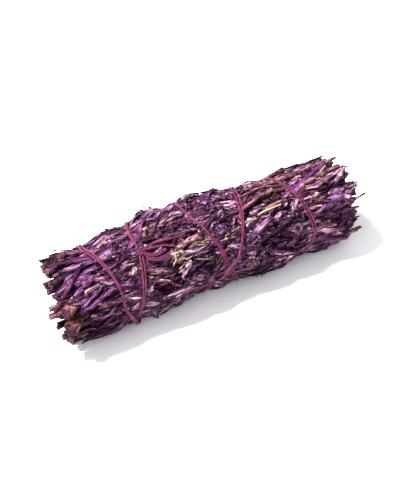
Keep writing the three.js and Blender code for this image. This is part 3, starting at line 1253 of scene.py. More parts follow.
@dataclass(frozen=True)
class Twig:
    """A twig or bare stem that shows on the outside.

    Attributes:
        places: where it runs: along the bundle, degrees up the front, height over the leaves.
        thickness: half its thickness at both ends.
        tint: place in the stem palette.
        clears: how far beside it top leaves are missing.
        core: place in the stem palette of the middle of its first end, if it isn't pith.
        sides: points round it.
    """

    places: tuple[tuple[float, float, float], ...]
    thickness: tuple[float, float]
    tint: float
    clears: float = 1.0
    core: float | None = None
    sides: int = 10

    def line(self, count: int) -> np.ndarray:
        """Its middle line as count places."""
        return curve_through(np.array(self.places, float), count)

    def build(self, name: str, sprig: "Sprig", shape: BundleShape,
              rng: np.random.Generator) -> bpy.types.Object:
        """Builds the twig in the space of a sprig.

        Args:
            name: the object's name.
            sprig: the sprig that it grew on.
            shape: the bundle.
            rng: where its unevenness comes from.

        Returns:
            The twig as an object that isn't linked to the scene.
        """
        count = max(8, int(abs(self.places[-1][0] - self.places[0][0]) / 0.8))
        x, degrees, height = self.line(count).T
        lean = wrapped(np.radians(degrees) - sprig.angle - shape.twist * x)
        reach = shape.radius + height
        path = np.stack([x, reach * np.sin(lean), reach * np.cos(lean) - sprig.ring_radius], -1)
        t = np.linspace(0, 1, count)
        if self.core is not None:
            t = smoothstep(np.abs(x - x[0]), 0.9 * self.thickness[0], 3.2 * self.thickness[0])
        radius = self.thickness[0] * (1 - t) + self.thickness[1] * t
        radius = radius * (1 + 0.08 * np.sin(x * 1.7 + rng.uniform(0, 6)))
        return bark_loft(name, path, radius, self.tint, rng, self.sides, self.core)


TWIGS = (
    Twig(((-56.0, 8, 0.3), (-54.6, 9, -1.0), (-52.0, 11, -2.6), (-47.0, 14, -4.4)), (2.3, 1.0), 0.92,
         0.1, 0.36, 20),
    Twig(((-56.0, 30, 0.1), (-54.6, 31, -1.1), (-52.0, 32, -2.6), (-47.0, 33, -4.4)), (1.8, 0.8), 0.93,
         0.1, 0.62, 16),
    Twig(((20.0, 108, -1.2), (28.0, 108, 0.2), (38.8, 101, 0.9), (47.0, 102, 1.6), (54.5, 104, 1.4)),
         (1.15, 0.75), 0.84),
    Twig(((30.0, 79, -1.6), (37.0, 80, -0.2), (46.0, 83, 0.8), (53.0, 87, 1.0)), (1.05, 0.95), 0.8),
    Twig(((3.0, 77, -1.2), (8.0, 77, -0.2), (13.3, 78, 0.5), (19.7, 82, 0.6), (27.0, 85, 0.1),
          (32.0, 86, -1.5)), (0.7, 0.9), 0.78, 1.3),
    Twig(((-20.0, -18, -1.0), (-13.0, -13, 0.3), (-5.0, -5, 0.5), (2.0, 0, 0.3), (8.0, 3, -1.2)),
         (0.7, 0.8), 0.62, 1.3),
    Twig(((-17.0, 56, -1.0), (-12.0, 58, 0.5), (-5.5, 62, 0.5)), (0.8, 0.95), 1.0, 1.4),
    Twig(((-24.0, 74, -1.0), (-17.0, 72, 0.2), (-8.0, 72, 0.2), (-4.0, 71, -1.0)), (0.6, 0.7), 0.5, 0.8),
    Twig(((-44.0, 132, -0.6), (-48.0, 133, 0.6), (-51.5, 134, 1.0)), (0.4, 0.35), 0.98),
    Twig(((38.0, 28, -2.0), (46.0, 31, -0.8), (52.0, 34, 0.0), (57.0, 37, 0.4)), (0.75, 0.36), 0.74),
    Twig(((40.0, 10, -2.0), (47.0, 8, -1.0), (53.5, 6, -0.4)), (0.5, 0.3), 0.68),
    Twig(((34.0, -22, -2.2), (44.0, -22, -1.2), (49.0, -20, -0.2), (54.5, -14, 0.4)), (1.2, 0.7), 0.64),
    Twig(((40.0, -26, -1.6), (46.0, -30, -0.6), (50.5, -34, 0.6)), (1.1, 0.9), 0.7),
    Twig(((34.0, 64, -1.6), (44.0, 66, -0.8), (54.0, 72, 0.0)), (0.8, 0.7), 0.56),
    Twig(((-30.0, 110, -1.2), (-40.0, 108, -0.2), (-49.0, 108, -0.2)), (0.8, 0.8), 0.84),
    Twig(((-30.0, 22, -1.4), (-38.0, 20, -0.4), (-45.0, 24, 0.2)), (0.9, 1.0), 0.6, 0.8),
    Twig(((-34.0, 96, -1.0), (-27.0, 101, 0.6), (-21.0, 102, 0.2)), (0.5, 0.5), 0.9, 0.6),
    Twig(((14.0, 98, -1.0), (22.0, 96, 0.2), (33.0, 94, 0.0)), (0.6, 0.6), 0.7, 0.8),
    Twig(((14.0, 64, -1.0), (24.0, 66, 0.0), (33.0, 67, -1.0)), (0.5, 0.6), 0.76, 0.6),
)


@dataclass(frozen=True)
class Sprout:
    """One leaf that can be told from the others.

    Attributes:
        x, angle: place of its base along the bundle and in degrees up the front.
        height: height of its base over the leaves.
        yaw, pitch, roll: its turns, degrees.
        size: its size against its pattern.
        cut: number of its pattern.
        tint: place in the palette.
        wide: its width against its pattern.
    """

    x: float
    angle: float
    height: float
    yaw: float
    pitch: float
    roll: float
    size: float
    cut: int
    tint: float
    wide: float = 1.0


SPROUTS = (
    Sprout(-13.0, -26, 1.0, 8, 0, 0, 0.7, 2, 0.3, 1.1),
    Sprout(-7.0, -20, 1.0, 10, 0, 0, 0.75, 5, 0.48, 1.2),
    Sprout(-16.0, -34, 0.9, 6, 0, 0, 0.6, 0, 0.9, 1.1),
    Sprout(-3.5, -16, 0.9, 14, 0, 0, 0.5, 8, 0.3, 1.1),
    Sprout(-57.0, 44, -0.4, 38, 0, 0, 0.95, 4, 0.26, 0.8),
    Sprout(-56.0, 79, 0.0, 5, 0, 0, 0.8, 4, 0.9, 0.75),
    Sprout(-56.0, 56, -0.2, 26, 0, 10, 0.8, 2, 0.5, 0.7),
    Sprout(-51.5, 46, 0.4, 18, 0, 0, 0.62, 2, 0.33, 1.05),
    Sprout(-51.0, 30, 0.1, 22, 0, 0, 0.92, 4, 0.5, 0.8),
    Sprout(-51.5, 23, 0.0, 17, 0, -10, 0.75, 0, 0.34, 0.8),
    Sprout(-52.0, 6, -0.1, 6, 0, 0, 0.75, 2, 0.32, 0.8),
    Sprout(-46.5, 58, 0.2, 0, 0, 0, 0.42, 8, 0.86, 1.0),
    Sprout(-16.5, 126, 1.0, 165, 34, 20, 1.2, 11, 0.1, 1.2),
    Sprout(-14.5, 128, 1.2, 150, 38, -20, 1.2, 14, 0.06, 1.1),
    Sprout(-13.0, 130, 0.8, 172, 26, 0, 1.1, 12, 0.12),
    Sprout(-18.5, 125, 1.0, 178, 36, 30, 1.2, 12, 0.04, 1.2),
    Sprout(-19.5, 124, 1.0, 140, 44, 0, 0.8, 14, 0.05, 1.2),
    Sprout(-25.5, 115, 0.6, 140, 24, 0, 1.0, 18, 0.2),
    Sprout(-22.0, 84, 0.0, 22, 3, 10, 1.15, 8, 0.93),
    Sprout(-21.0, 89, 0.1, 14, 4, -10, 1.0, 8, 0.89),
    Sprout(-29.0, 128, -0.2, 150, 38, 0, 0.9, 11, 0.05),
    Sprout(-26.0, 130, 0.0, 170, 34, 40, 0.9, 14, 0.08),
    Sprout(-25.0, 126, 0.2, 30, 30, -30, 0.8, 12, 0.1),
    Sprout(-35.0, 127, -0.2, 165, 24, 0, 0.8, 13, 0.12),
    Sprout(10.0, 129, 0.4, 177, 12, 0, 0.9, 10, 0.12),
    Sprout(7.0, 131, 0.2, 170, 16, 20, 0.7, 9, 0.06),
    Sprout(17.0, 128, 0.4, 176, 14, 0, 0.7, 6, 0.14),
    Sprout(-7.0, 130, 0.0, 175, 10, 20, 0.7, 9, 0.8),
    Sprout(28.0, 122, 0.3, 20, 40, 0, 0.9, 11, 0.9),
    Sprout(30.0, 124, 0.4, -10, 44, 30, 0.9, 14, 0.84),
    Sprout(32.0, 120, 0.3, 160, 40, 10, 0.9, 12, 0.5),
    Sprout(34.0, 122, 0.5, 40, 30, 10, 0.8, 14, 0.3),
    Sprout(48.0, 70, 0.2, 28, 14, 10, 1.3, 23, 0.64, 1.7),
    Sprout(47.0, 66, -0.6, 22, 10, 30, 1.3, 23, 0.45, 1.4),
    Sprout(48.5, 49, 0.0, 6, 8, 0, 1.2, 23, 0.66, 1.4),
    Sprout(49.5, 22, -0.4, -4, 8, 20, 1.1, 16, 0.3),
    Sprout(-16.0, 18, 0.0, 60, 12, 0, 0.7, 8, 0.72),
    Sprout(-13.5, 14, 0.0, 20, 14, 60, 0.9, 14, 0.75),
    Sprout(22.5, 0, 0.4, -30, 10, 0, 0.8, 8, 0.2),
    Sprout(27.0, 47, 0.2, 40, 16, 0, 0.8, 8, 0.7),
    Sprout(-36.0, 58, 0.1, 10, 4, 0, 1.2, 6, 0.88),
    Sprout(-33.0, 46, 0.0, 30, 10, 0, 1.0, 14, 0.72),
)


def bark_loft(name: str, path: np.ndarray, radius: np.ndarray, tint: float,
              rng: np.random.Generator, sides: int = 10, core: float | None = None) -> bpy.types.Object:
    """A ribbed, woody rod along a path, with broken ends.

    Args:
        name: the object's name.
        path: its middle line, mostly along X.
        radius: half its thickness at each point of the path.
        tint: place in the stem palette.
        rng: where its unevenness comes from.
        sides: points round it.
        core: place in the stem palette of the middle of its first end, if it isn't pith.

    Returns:
        The rod as an object that isn't linked to the scene.
    """
    count = len(path)
    tangent = unit(np.gradient(path, axis=0))
    side = unit(np.cross([0.0, 0.0, 1.0], tangent))
    up = np.cross(tangent, side)
    around = np.linspace(0, 2 * math.pi, sides, endpoint=False)[None, :]
    drift = np.cumsum(rng.normal(0, 0.06, (count, 1)), 0)
    ribs = 1 + 0.15 * np.cos(3 * around + drift + 1.3) + 0.1 * np.cos(5 * around - drift)
    ribs = ribs + 0.06 * rng.normal(size=(count, sides))
    reach = radius[:, None] * ribs
    rings = tube(path, side, up, reach)
    thick = float(radius.max())
    rings[0] += tangent[0] * (0.12 * thick * rng.normal(size=(sides, 1)))
    rings[-1] += tangent[-1] * (0.5 * thick * rng.normal(size=(sides, 1)))
    first = rings[0] * 0.55 + rings[0].mean(0) * 0.45 + tangent[0] * 0.2 * thick
    last = rings[-1] * 0.5 + rings[-1].mean(0) * 0.5 - tangent[-1] * 0.5 * thick
    rings = np.concatenate([first[None], rings, last[None]])
    pith = np.zeros(rings.shape[:2])
    pith[0], pith[1], pith[-1], pith[-2] = 0.7, 0.35, 0.7, 0.35
    steps = run_lengths(rings.mean(1))
    u = np.abs(np.linspace(-1, 1, sides))
    uv = np.stack([np.repeat(u[None, :], len(rings), 0), np.repeat(steps[:, None] / 7, sides, 1)], -1)
    tints = np.full(rings.shape[:2], tint)
    if core is not None:
        pith[:2] = 0.0
        tints[0] = core
    return closed_loft(rings, name, {"pith": pith, "tint": tints}, uv)


@dataclass(frozen=True)
class Stem:
    """The woody stem of a sprig, with the side stems that grew beside it.

    Attributes:
        radius: half its thickness in the middle.
        heel: half its thickness at the cut end.
        tip: half its thickness at the tip.
        out: how far it stands out from the middle of the sprig.
        tint: place in the stem palette.
        overhang: how far it reaches past the sprig's cut end.
        flare: length over which the heel narrows.
        sides_grown: number of side stems at each end.
        core: place in the stem palette of the middle of the cut, if it isn't pith.
    """

    radius: float = 0.9
    heel: float = 1.0
    tip: float = 0.5
    out: float = 0.1
    tint: float = 0.4
    overhang: float = 0.0
    flare: float = 9.0
    sides_grown: int = 2
    core: float | None = None
    step: float = 0.9

    def build(self, name: str, start: float, end: float, rng: np.random.Generator) -> list[bpy.types.Object]:
        """Builds the stems.

        Args:
            name: first part of the objects' names.
            start: place of the cut end.
            end: place of the tip.
            rng: where their unevenness comes from.

        Returns:
            The stems as objects in the sprig's own space.
        """
        start = start - self.overhang
        x = np.linspace(start, end - rng.uniform(0, 3), max(8, int((end - start) / self.step)))
        phase = rng.uniform(0, 2 * math.pi, 4)
        side = 0.32 * np.sin(x / 9 + phase[0]) + 0.14 * np.sin(x / 3.3 + phase[1])
        out = self.out + 0.2 * np.sin(x / 11 + phase[2])
        knuckles = 0.16 * np.maximum(np.cos(x * 2 * math.pi / rng.uniform(9, 14) + phase[3]), 0) ** 8
        heel = 1 - smoothstep(x, start, start + self.flare)
        taper = smoothstep(x, end - 22, end)
        radius = self.radius * (1 + knuckles) * (1 - taper) + self.tip * taper
        radius = radius * (1 - heel) + self.heel * heel
        path = np.stack([x, side, out], -1)
        made = [bark_loft(f"{name}_main", path, radius, self.tint, rng, 14, self.core)]
        for number in range(self.sides_grown):
            made.append(self._side(f"{name}_side_{number}", start, rng, True))
            made.append(self._side(f"{name}_top_{number}", end, rng, False))
        return made

    def _side(self, name: str, end: float, rng: np.random.Generator, cut: bool) -> bpy.types.Object:
        """One side stem, from near an end of the sprig into the bundle.

        Args:
            name: the object's name.
            end: place of that end.
            rng: where its unevenness comes from.
            cut: whether it is the cut end.

        Returns:
            The stem in the sprig's own space.
        """
        inward = 1.0 if cut else -1.0
        begin = end + inward * rng.uniform(-0.8, 3.2)
        length = rng.uniform(14, 22)
        t = np.linspace(0, 1, 18)
        turn = rng.uniform(0, 2 * math.pi)
        reach = rng.uniform(0.8, 1.5)
        x = begin + inward * length * t
        side = reach * math.cos(turn) * (1 - 0.5 * t) + 0.2 * np.sin(5 * t + turn)
        out = self.out * 0.5 + reach * math.sin(turn) * (1 - 0.4 * t) - 0.8 * t
        thick = rng.uniform(0.45, 0.8) if cut else rng.uniform(0.35, 0.65)
        radius = thick * (1 - 0.3 * t) * (1 + 0.1 * np.sin(9 * t + turn))
        path = np.stack([x, side, out], -1)
        if not cut:
            path, radius = path[::-1], radius[::-1]
        tint = float(np.clip(rng.normal(0.34, 0.2), 0.02, 0.95))
        return bark_loft(name, path, radius, tint, rng, 8)


@dataclass
class Sprig:
    """One cut sprig: its stem and the leaves that grew on it.

    Attributes:
        node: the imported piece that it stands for.
        ring_radius: distance of its middle from the bundle's axis.
        angle: its place round the bundle, radians.
        depth: layers of sprigs over it.
        start, end: where it lies along the bundle.
        seed: where its unevenness comes from.
    """

    node: str
    ring_radius: float
    angle: float
    depth: int
    start: float
    end: float
    seed: int
    stem: Stem
    twigs: tuple[Twig, ...] = TWIGS

    def seats(self, board: CuttingBoard, shape: BundleShape) -> Seats:
        """Chooses where its leaves sit.

        Args:
            board: the leaf patterns.
            shape: the bundle.

        Returns:
            The seats in the sprig's own space.
        """
        rng = np.random.default_rng(self.seed)
        rows: list[tuple] = []
        for layer in (SURFACE_LEAVES if self.depth == 0 else INNER_LEAVES):
            self._grow(layer, board, shape, rng, rows)
        if self.depth == 0:
            self._litter(board, shape, rng, rows)
            self._single(shape, rows)
        columns = [np.array(column, float) for column in zip(*rows)]
        x, lean, height, yaw, pitch, roll, size, wide, cut, tint, pale = columns
        reach = shape.radius + height
        if self.depth:
            reach = self.ring_radius + height
        side = reach * np.sin(lean)
        out = reach * np.cos(lean) - self.ring_radius
        return Seats(np.stack([x, side, out], -1), turned(yaw, pitch, roll, -lean),
                     np.stack([size, wide, wide], -1), cut, tint, pale)

    def _grow(self, layer: "LeafLayer", board: CuttingBoard, shape: BundleShape,
              rng: np.random.Generator, rows: list[tuple]) -> None:
        """Adds the seats of one layer of leaves.

        Args:
            layer: the layer.
            board: the leaf patterns.
            shape: the bundle.
            rng: where its unevenness comes from.
            rows: seats so far, which it adds to.
        """
        low = max(self.start - self.stem.overhang + layer.bare_start, layer.begins)
        high = self.end - layer.bare_end
        count = int((high - low) / layer.spacing)
        for step in range(count):
            x = low + (high - low) * (step + rng.uniform(0, 1)) / count
            if layer.ends_only and -38 < x < 36:
                continue
            stretch = next(s for s in STRETCHES if s.start <= x < s.end)
            kinds, shares = list(stretch.shares), np.array(list(stretch.shares.values()))
            growth = layer.growth or kinds[rng.choice(len(kinds), p=shares / shares.sum())]
            cut = int(rng.choice(board.numbers(growth)))
            length = board.cuts[cut].length
            size = rng.uniform(0.75, 1.2)
            size = min(size, (self.end + layer.overhang - x) / length)
            if size < 0.35 or (layer.surface and rng.uniform() > stretch.density):
                continue
            lean = math.radians(rng.uniform(-1, 1) * layer.spread)
            middle = x + 0.4 * length * size
            angle = self.angle + shape.twist * middle + lean
            if layer.surface and self._cleared(middle, angle, shape) and rng.uniform() < 0.85:
                continue
            pocket = next((k for k in POCKETS if k.holds(middle, angle, shape.radius)), None)
            if pocket and self.depth == 0 and layer.height[1] > -1.0 and rng.uniform() < 0.85:
                continue
            yaw = math.radians(rng.normal(0, stretch.yaw))
            pitch = math.radians(layer.lift + rng.normal(stretch.lift, 2.0)) * min(1.0, 12 / length)
            roll = math.radians(rng.normal(0, 40))
            if rng.uniform() < stretch.reversed and x + length * size < self.end:
                x, yaw = x + length * size, yaw + math.pi
            height = rng.uniform(*layer.height)
            if rng.uniform() < stretch.warm:
                tint = rng.uniform(0.77, 0.98)
            else:
                # Leaves in a hollow take its dark tint as painted shade.
                mean = pocket.tint if pocket else layer.tint
                tint = np.clip(rng.normal(mean, 0.12 if pocket else 0.15), 0.02, 0.71)
            wide = stretch.bulk * rng.uniform(0.75, 1.2)
            rows.append((x, lean, height, yaw, pitch, roll, size, wide, cut, tint, 0.0))

    def _cleared(self, x: float, angle: float, shape: BundleShape) -> bool:
        """Whether a twig lies bare at this place.

        Args:
            x: place along the bundle.
            angle: angle up the front, in radians.
            shape: the bundle.

        Returns:
            True beside such a twig.
        """
        for twig in self.twigs:
            line = twig.line(24)
            around = wrapped(angle - np.radians(line[:, 1])) * shape.radius
            if (np.hypot(line[:, 0] - x, around)[line[:, 2] > -0.5] < twig.clears + 0.8).any():
                return True
        return False

    def _single(self, shape: BundleShape, rows: list[tuple]) -> None:
        """Adds the seats of the single leaves that grew on this sprig.

        Args:
            shape: the bundle.
            rows: seats so far, which it adds to.
        """
        for leaf in SPROUTS:
            lean = self.lean(leaf.x, leaf.angle, shape)
            if abs(lean) > math.pi / 21:
                continue
            rows.append((leaf.x, lean, leaf.height, math.radians(leaf.yaw), math.radians(leaf.pitch),
                         math.radians(leaf.roll), leaf.size, leaf.wide, leaf.cut, leaf.tint, 0.0))

    def lean(self, x: float, degrees: float, shape: BundleShape) -> float:
        """Angle from the middle of this sprig to a place on the bundle, in radians."""
        away = math.radians(degrees) - self.angle - shape.twist * x
        return math.atan2(math.sin(away), math.cos(away))

    def _litter(self, board: CuttingBoard, shape: BundleShape, rng: np.random.Generator,
                rows: list[tuple]) -> None:
        """Adds the seats of the pale litter that is caught on this sprig.

        Args:
            board: the leaf patterns.
            shape: the bundle.
            rng: where its unevenness comes from.
            rows: seats so far, which it adds to.
        """
        for tuft in TUFTS:
            lean = self.lean(tuft.x, tuft.angle, shape)
            if abs(lean) > math.pi / 21:
                continue
            for _ in range(tuft.count):
                x = tuft.x + rng.normal(0, 0.5) * tuft.reach
                around = lean + rng.normal(0, 0.22) * tuft.reach / shape.radius
                yaw_spread = {Growth.FLORET: 32, Growth.FIBRE: 24}.get(tuft.growth, 11)
                cut = int(rng.choice(board.numbers(tuft.growth)))
                rows.append((x, around, tuft.height + rng.uniform(-0.5, 0.3),
                             math.radians(rng.normal(0, yaw_spread)), math.radians(rng.normal(4, 8)),
                             rng.uniform(0, 6.3), rng.uniform(0.4, 0.85), 1.1, cut,
                             rng.uniform(0.1, 1.0), 1.0))

    def build(self, scatter: LeafScatter, board: CuttingBoard, shape: BundleShape,
              finishes: dict[str, bpy.types.Material]) -> bpy.types.Object:
        """Builds the sprig in its place in the bundle.

        Args:
            scatter: sets leaves on seats.
            board: the leaf patterns.
            shape: the bundle.
            finishes: materials by name.

        Returns:
            The finished piece.
        """
        rng = np.random.default_rng(self.seed + 1000)
        leaves = scatter.scatter(self.seats(board, shape), f"{self.node}_leaves", 3.4, 0.85,
                                 self.seed * 3.7, finishes["leaf"], finishes["pale"])
        woody = self.stem.build(f"{self.node}_stem", self.start, self.end, rng)
        if self.depth == 0:
            for number, twig in enumerate(self.twigs):
                x, degrees, _ = twig.places[len(twig.places) // 2]
                if abs(self.lean(x, degrees, shape)) <= math.pi / 21:
                    woody.append(twig.build(f"{self.node}_twig_{number}", self, shape, rng))
        for part in woody:
            part.data.materials.append(finishes["stem"])
            show(part)
        piece = join([*woody, leaves], f"{self.node}_grown")
        points = read_points(piece.data)
        out = self.ring_radius + points[:, 2]
        radius = np.hypot(out, points[:, 1])
        angle = self.angle + shape.twist * points[:, 0] + np.arctan2(points[:, 1], out)
        write_points(piece.data, shape.lay(points[:, 0], radius, angle))
        return piece


@dataclass(frozen=True)
class LeafLayer:
    """One layer of leaves on a sprig.

    Attributes:
        spacing: millimetres of sprig for each leaf.
        spread: degrees round the bundle on each side of the sprig.
        height: range of heights of the leaf's base over the bundle's outside.
        tint: mean tint.
        lift: rise of the tips on top of the stretch's own, degrees.
        bare_start, bare_end: lengths without leaves at the cut end and at the tip.
        overhang: how far leaves may reach past the sprig's tip.
        surface: whether it is the outermost layer.
        ends_only: whether it grows only where the ends of the bundle show it.
        growth: what grows in it, or None for what its stretch grows.
        begins: place along the bundle before which it does not grow.
    """

    spacing: float
    spread: float
    height: tuple[float, float]
    tint: float
    lift: float = 0.0
    bare_start: float = 4.0
    bare_end: float = 3.0
    overhang: float = 2.5
    surface: bool = True
    ends_only: bool = False
    growth: Growth | None = None
    begins: float = -60.0


# Deeper layers carry darker tints: painted shade in the gaps between the top leaves.
SURFACE_LEAVES = (
    LeafLayer(1.3, 11.0, (-3.6, -2.6), 0.05, surface=False, bare_start=1.5),
    LeafLayer(1.5, 11.0, (-2.6, -1.3), 0.28, bare_start=1.0),
    LeafLayer(2.3, 12.0, (-1.3, -0.1), 0.5, bare_start=1.5),
    LeafLayer(1.15, 12.0, (-1.5, -0.2), 0.5, lift=5.0, growth=Growth.FLAKE, begins=-38.0),
    LeafLayer(4.0, 12.0, (-1.8, -0.8), 0.4, lift=4.0, growth=Growth.FLAKE),
)
# The deep core layer carries a dark tint as painted shade.
INNER_LEAVES = (
    LeafLayer(1.6, 14.0, (-0.9, 0.6), 0.36, ends_only=True, bare_start=2.0, bare_end=1.5, overhang=2.0),
    LeafLayer(3.6, 34.0, (-2.0, 1.2), 0.12, surface=False, bare_start=4.0, overhang=0.0),
)


def join(objects: list[bpy.types.Object], name: str) -> bpy.types.Object:
    """Joins objects into the first one, under a new name.

    Args:
        objects: what to join.
        name: the new name.

    Returns:
        The joined object.
    """
    first = objects[0]
    with bpy.context.temp_override(active_object=first, selected_editable_objects=objects):
        bpy.ops.object.join()
    first.name = name
    first.data.name = name
    return first


def read_points(mesh: bpy.types.Mesh) -> np.ndarray:
    """Reads a mesh's vertices.

    Args:
        mesh: the mesh.

    Returns:
        Places as (vertex, 3).
    """
    points = np.zeros(len(mesh.vertices) * 3)
    mesh.vertices.foreach_get("co", points)
    return points.reshape(-1, 3)


def write_points(mesh: bpy.types.Mesh, points: np.ndarray) -> None:
    """Sets a mesh's vertices."""
    mesh.vertices.foreach_set("co", points.ravel())
    mesh.update()


# ---- Thread ------------------------------------------------------------------------------------


@dataclass(frozen=True)
class TwistedThread:
    """Two plies of cotton twisted into one thread.

    Attributes:
        radius: half its thickness.
        groove: depth of the grooves between the plies, as a share of the radius.
        lay_length: length of one full turn of a ply.
        step: length between rings.
        sides: points round it.
    """

    radius: float = 0.35
    groove: float = 0.26
    lay_length: float = 2.8
    step: float = 0.36
    sides: int = 10

    def build(self, name: str, route: np.ndarray) -> bpy.types.Object:
        """Builds the thread along a route.

        Args:
            name: the object's name.
            route: points in metres, close together.

        Returns:
            The thread as an object that isn't linked to the scene.
        """
        lengths = run_lengths(route)
        count = max(8, int(lengths[-1] / MM / self.step))
        at = np.linspace(0.0, lengths[-1], count)
        path = np.stack([np.interp(at, lengths, route[:, k]) for k in range(3)], -1)
        tangent = unit(np.gradient(path, axis=0))
        first = np.cross(tangent[0], [0.3, 0.1, 1.0])
        frames = [unit(first)]
        for direction in tangent[1:]:
            carried = frames[-1] - direction * float(frames[-1] @ direction)
            frames.append(unit(carried))
        side = np.array(frames)
        up = np.cross(tangent, side)
        around = np.linspace(0, 2 * math.pi, self.sides, endpoint=False)[None, :]
        ply = around - (at / MM / self.lay_length * 2 * math.pi)[:, None]
        uneven = 1 + 0.04 * np.sin(at / MM * 1.9)[:, None] + 0.03 * np.sin(at / MM * 5.3)[:, None]
        reach = self.radius * MM * uneven * (1 - self.groove / 2 + self.groove / 2 * np.cos(2 * ply))
        ends = np.clip(np.minimum(np.arange(count), np.arange(count)[::-1]) / 2.0, 0.35, 1.0)
        rings = tube(path, side, up, reach * ends[:, None])
        u = np.linspace(0, 1, self.sides, endpoint=False)[None, :]
        turns = np.repeat((at / MM / self.lay_length)[:, None], self.sides, 1)
        return closed_loft(rings, name, {}, np.stack([np.repeat(u, count, 0), turns], -1))


@dataclass
class Binding:
    """The cotton thread: two wound strands, the knot, its ends and its loops.

    Attributes:
        spacing: distance between the two strands.
        height: how far the middle of a strand stands over the leaves.
        lift: how far a later turn rides over an earlier one.
        lift_near, lift_far: distances between turns at which the lift is full and gone.
        gap: degrees of winding hidden in the knot.
        tails: loose ends, as places along the bundle and angles up the front.
        loops: flattened loops of the knot, given in the same way.
    """

    shape: BundleShape
    thread: TwistedThread = TwistedThread()
    spacing: float = 0.62
    height: float = 0.3
    lift: float = 0.85
    lift_near: float = 2.4
    lift_far: float = 6.5
    gap: float = 3.0
    tails: dict[str, tuple[tuple[float, float], ...]] = field(default_factory=lambda: {
        "thread_tail_long": ((-25.6, 68.5), (-23.0, 70.4), (-18.7, 69.0), (-14.1, 67.8), (-10.0, 69.0)),
        "thread_tail_short": ((-25.4, 68.0), (-22.6, 66.0), (-18.6, 63.0), (-15.1, 58.0)),
    })
    loops: dict[str, tuple[tuple[float, float], ...]] = field(default_factory=lambda: {
        "thread_loop_upper": ((-26.0, 66.0), (-24.6, 60.5), (-22.6, 57.5), (-19.4, 58.5)),
        "thread_loop_lower": ((-26.0, 64.0), (-24.8, 55.5), (-22.0, 51.0), (-18.6, 52.5)),
    })

    def strand_route(self, offset: float) -> np.ndarray:
        """Route of one wound strand.

        Args:
            offset: how far it runs beside the middle of the winding.

        Returns:
            Points in metres.
        """
        winding, radius = self.shape.winding, self.shape.radius
        wound = np.arange(self.gap, winding.total - self.gap, 0.8)
        place = winding.place(wound)
        slope = winding.place(wound + 0.5) - winding.place(wound - 0.5)
        arc = radius * math.radians(1.0)
        length = np.hypot(slope, arc)
        wander = 0.16 * np.sin(np.radians(wound) * 2.3 + offset * 5) + 0.1 * np.sin(np.radians(wound) * 5.1)
        beside = offset * (1 + 0.35 * np.sin(np.radians(wound) * 1.37)) + wander
        x = place + beside * arc / length
        angle = winding.angle(wound) + np.radians(beside * slope / length / arc)
        bob = 0.12 * np.sin(np.radians(wound) * 7.7 + offset)
        height = self.height + self._lift(wound, place, angle) + bob
        return self.shape.above(x, angle, height)

    def _lift(self, wound: np.ndarray, place: np.ndarray, angle: np.ndarray) -> np.ndarray:
        """Lift of each part of a strand over earlier turns.

        Args:
            wound: degrees wound since the knot.
            place: places along the bundle.
            angle: angles up the front, in radians.

        Returns:
            The lift of each.
        """
        winding = self.shape.winding
        earlier = np.arange(0.0, winding.total + 1, 4.0)
        x, turn = winding.place(earlier), winding.angle(earlier)
        around = wrapped(angle[:, None] - turn[None, :]) * self.shape.radius
        apart = np.hypot(place[:, None] - x[None, :], around)
        apart = np.where(earlier[None, :] <= wound[:, None] - 180, apart, self.lift_far)
        lift = self.lift * (1 - smoothstep(apart.min(1), self.lift_near, self.lift_far))
        return np.where(wound > winding.total - 120, 0.0, lift)

    def _along(self, places: tuple[tuple[float, float], ...], height: float) -> np.ndarray:
        """A smooth line on the leaves through places.

        Args:
            places: places along the bundle and degrees up the front.
            height: how far it stands over the leaves.

        Returns:
            Points in metres.
        """
        stops = np.array(places, float)
        smooth = curve_through(stops, 40)
        bob = height + 0.25 * np.sin(np.linspace(0, 5, 40))
        return self.shape.above(smooth[:, 0], np.radians(smooth[:, 1]), bob)

    def _hairpin(self, places: tuple[tuple[float, float], ...]) -> np.ndarray:
        """A flattened loop: out along one side of places and back along the other.

        Args:
            places: places along the bundle and degrees up the front.

        Returns:
            Points in metres.
        """
        smooth = curve_through(np.array(places, float), 30)
        spread = 0.1 * np.sin(np.linspace(0.25, math.pi - 0.35, 30)) + 0.22
        degree = math.degrees(1.0 / self.shape.radius)
        out = np.stack([smooth[:, 0], smooth[:, 1] + spread * degree], -1)
        back = np.stack([smooth[:, 0], smooth[:, 1] - spread * degree], -1)[::-1]
        nose = smooth[-1:] + np.array([[0.5, 0.0]])
        line = np.concatenate([out, nose, back])
        height = np.linspace(0.9, 1.2, len(line))
        return self.shape.above(line[:, 0], np.radians(line[:, 1]), height)

    def knot_route(self, ring: float = 0.62) -> np.ndarray:
        """Route of the thread through the overhand knot.

        Args:
            ring: size of the knot's ring, millimetres.

        Returns:
            Points in metres.
        """
        t = np.linspace(0, 2 * math.pi, 240)
        reach = ring * (2 + np.cos(1.5 * t * 2)) * 0.5
        local = np.stack([reach * np.cos(2 * t), reach * np.sin(2 * t), ring * 0.55 * np.sin(3 * t)], -1) * MM
        angle = math.radians(self.shape.winding.knot_angle)
        place = self.shape.winding.stops[0][1]
        seat = self.shape.above(np.array([place]), np.array([angle]), np.array([0.75]))[0]
        outward = np.array([0.0, -math.cos(angle), math.sin(angle)])
        across = np.array([0.0, math.sin(angle), math.cos(angle)])
        return seat + local[:, :1] * np.array([1.0, 0, 0]) + local[:, 1:2] * across + local[:, 2:] * outward

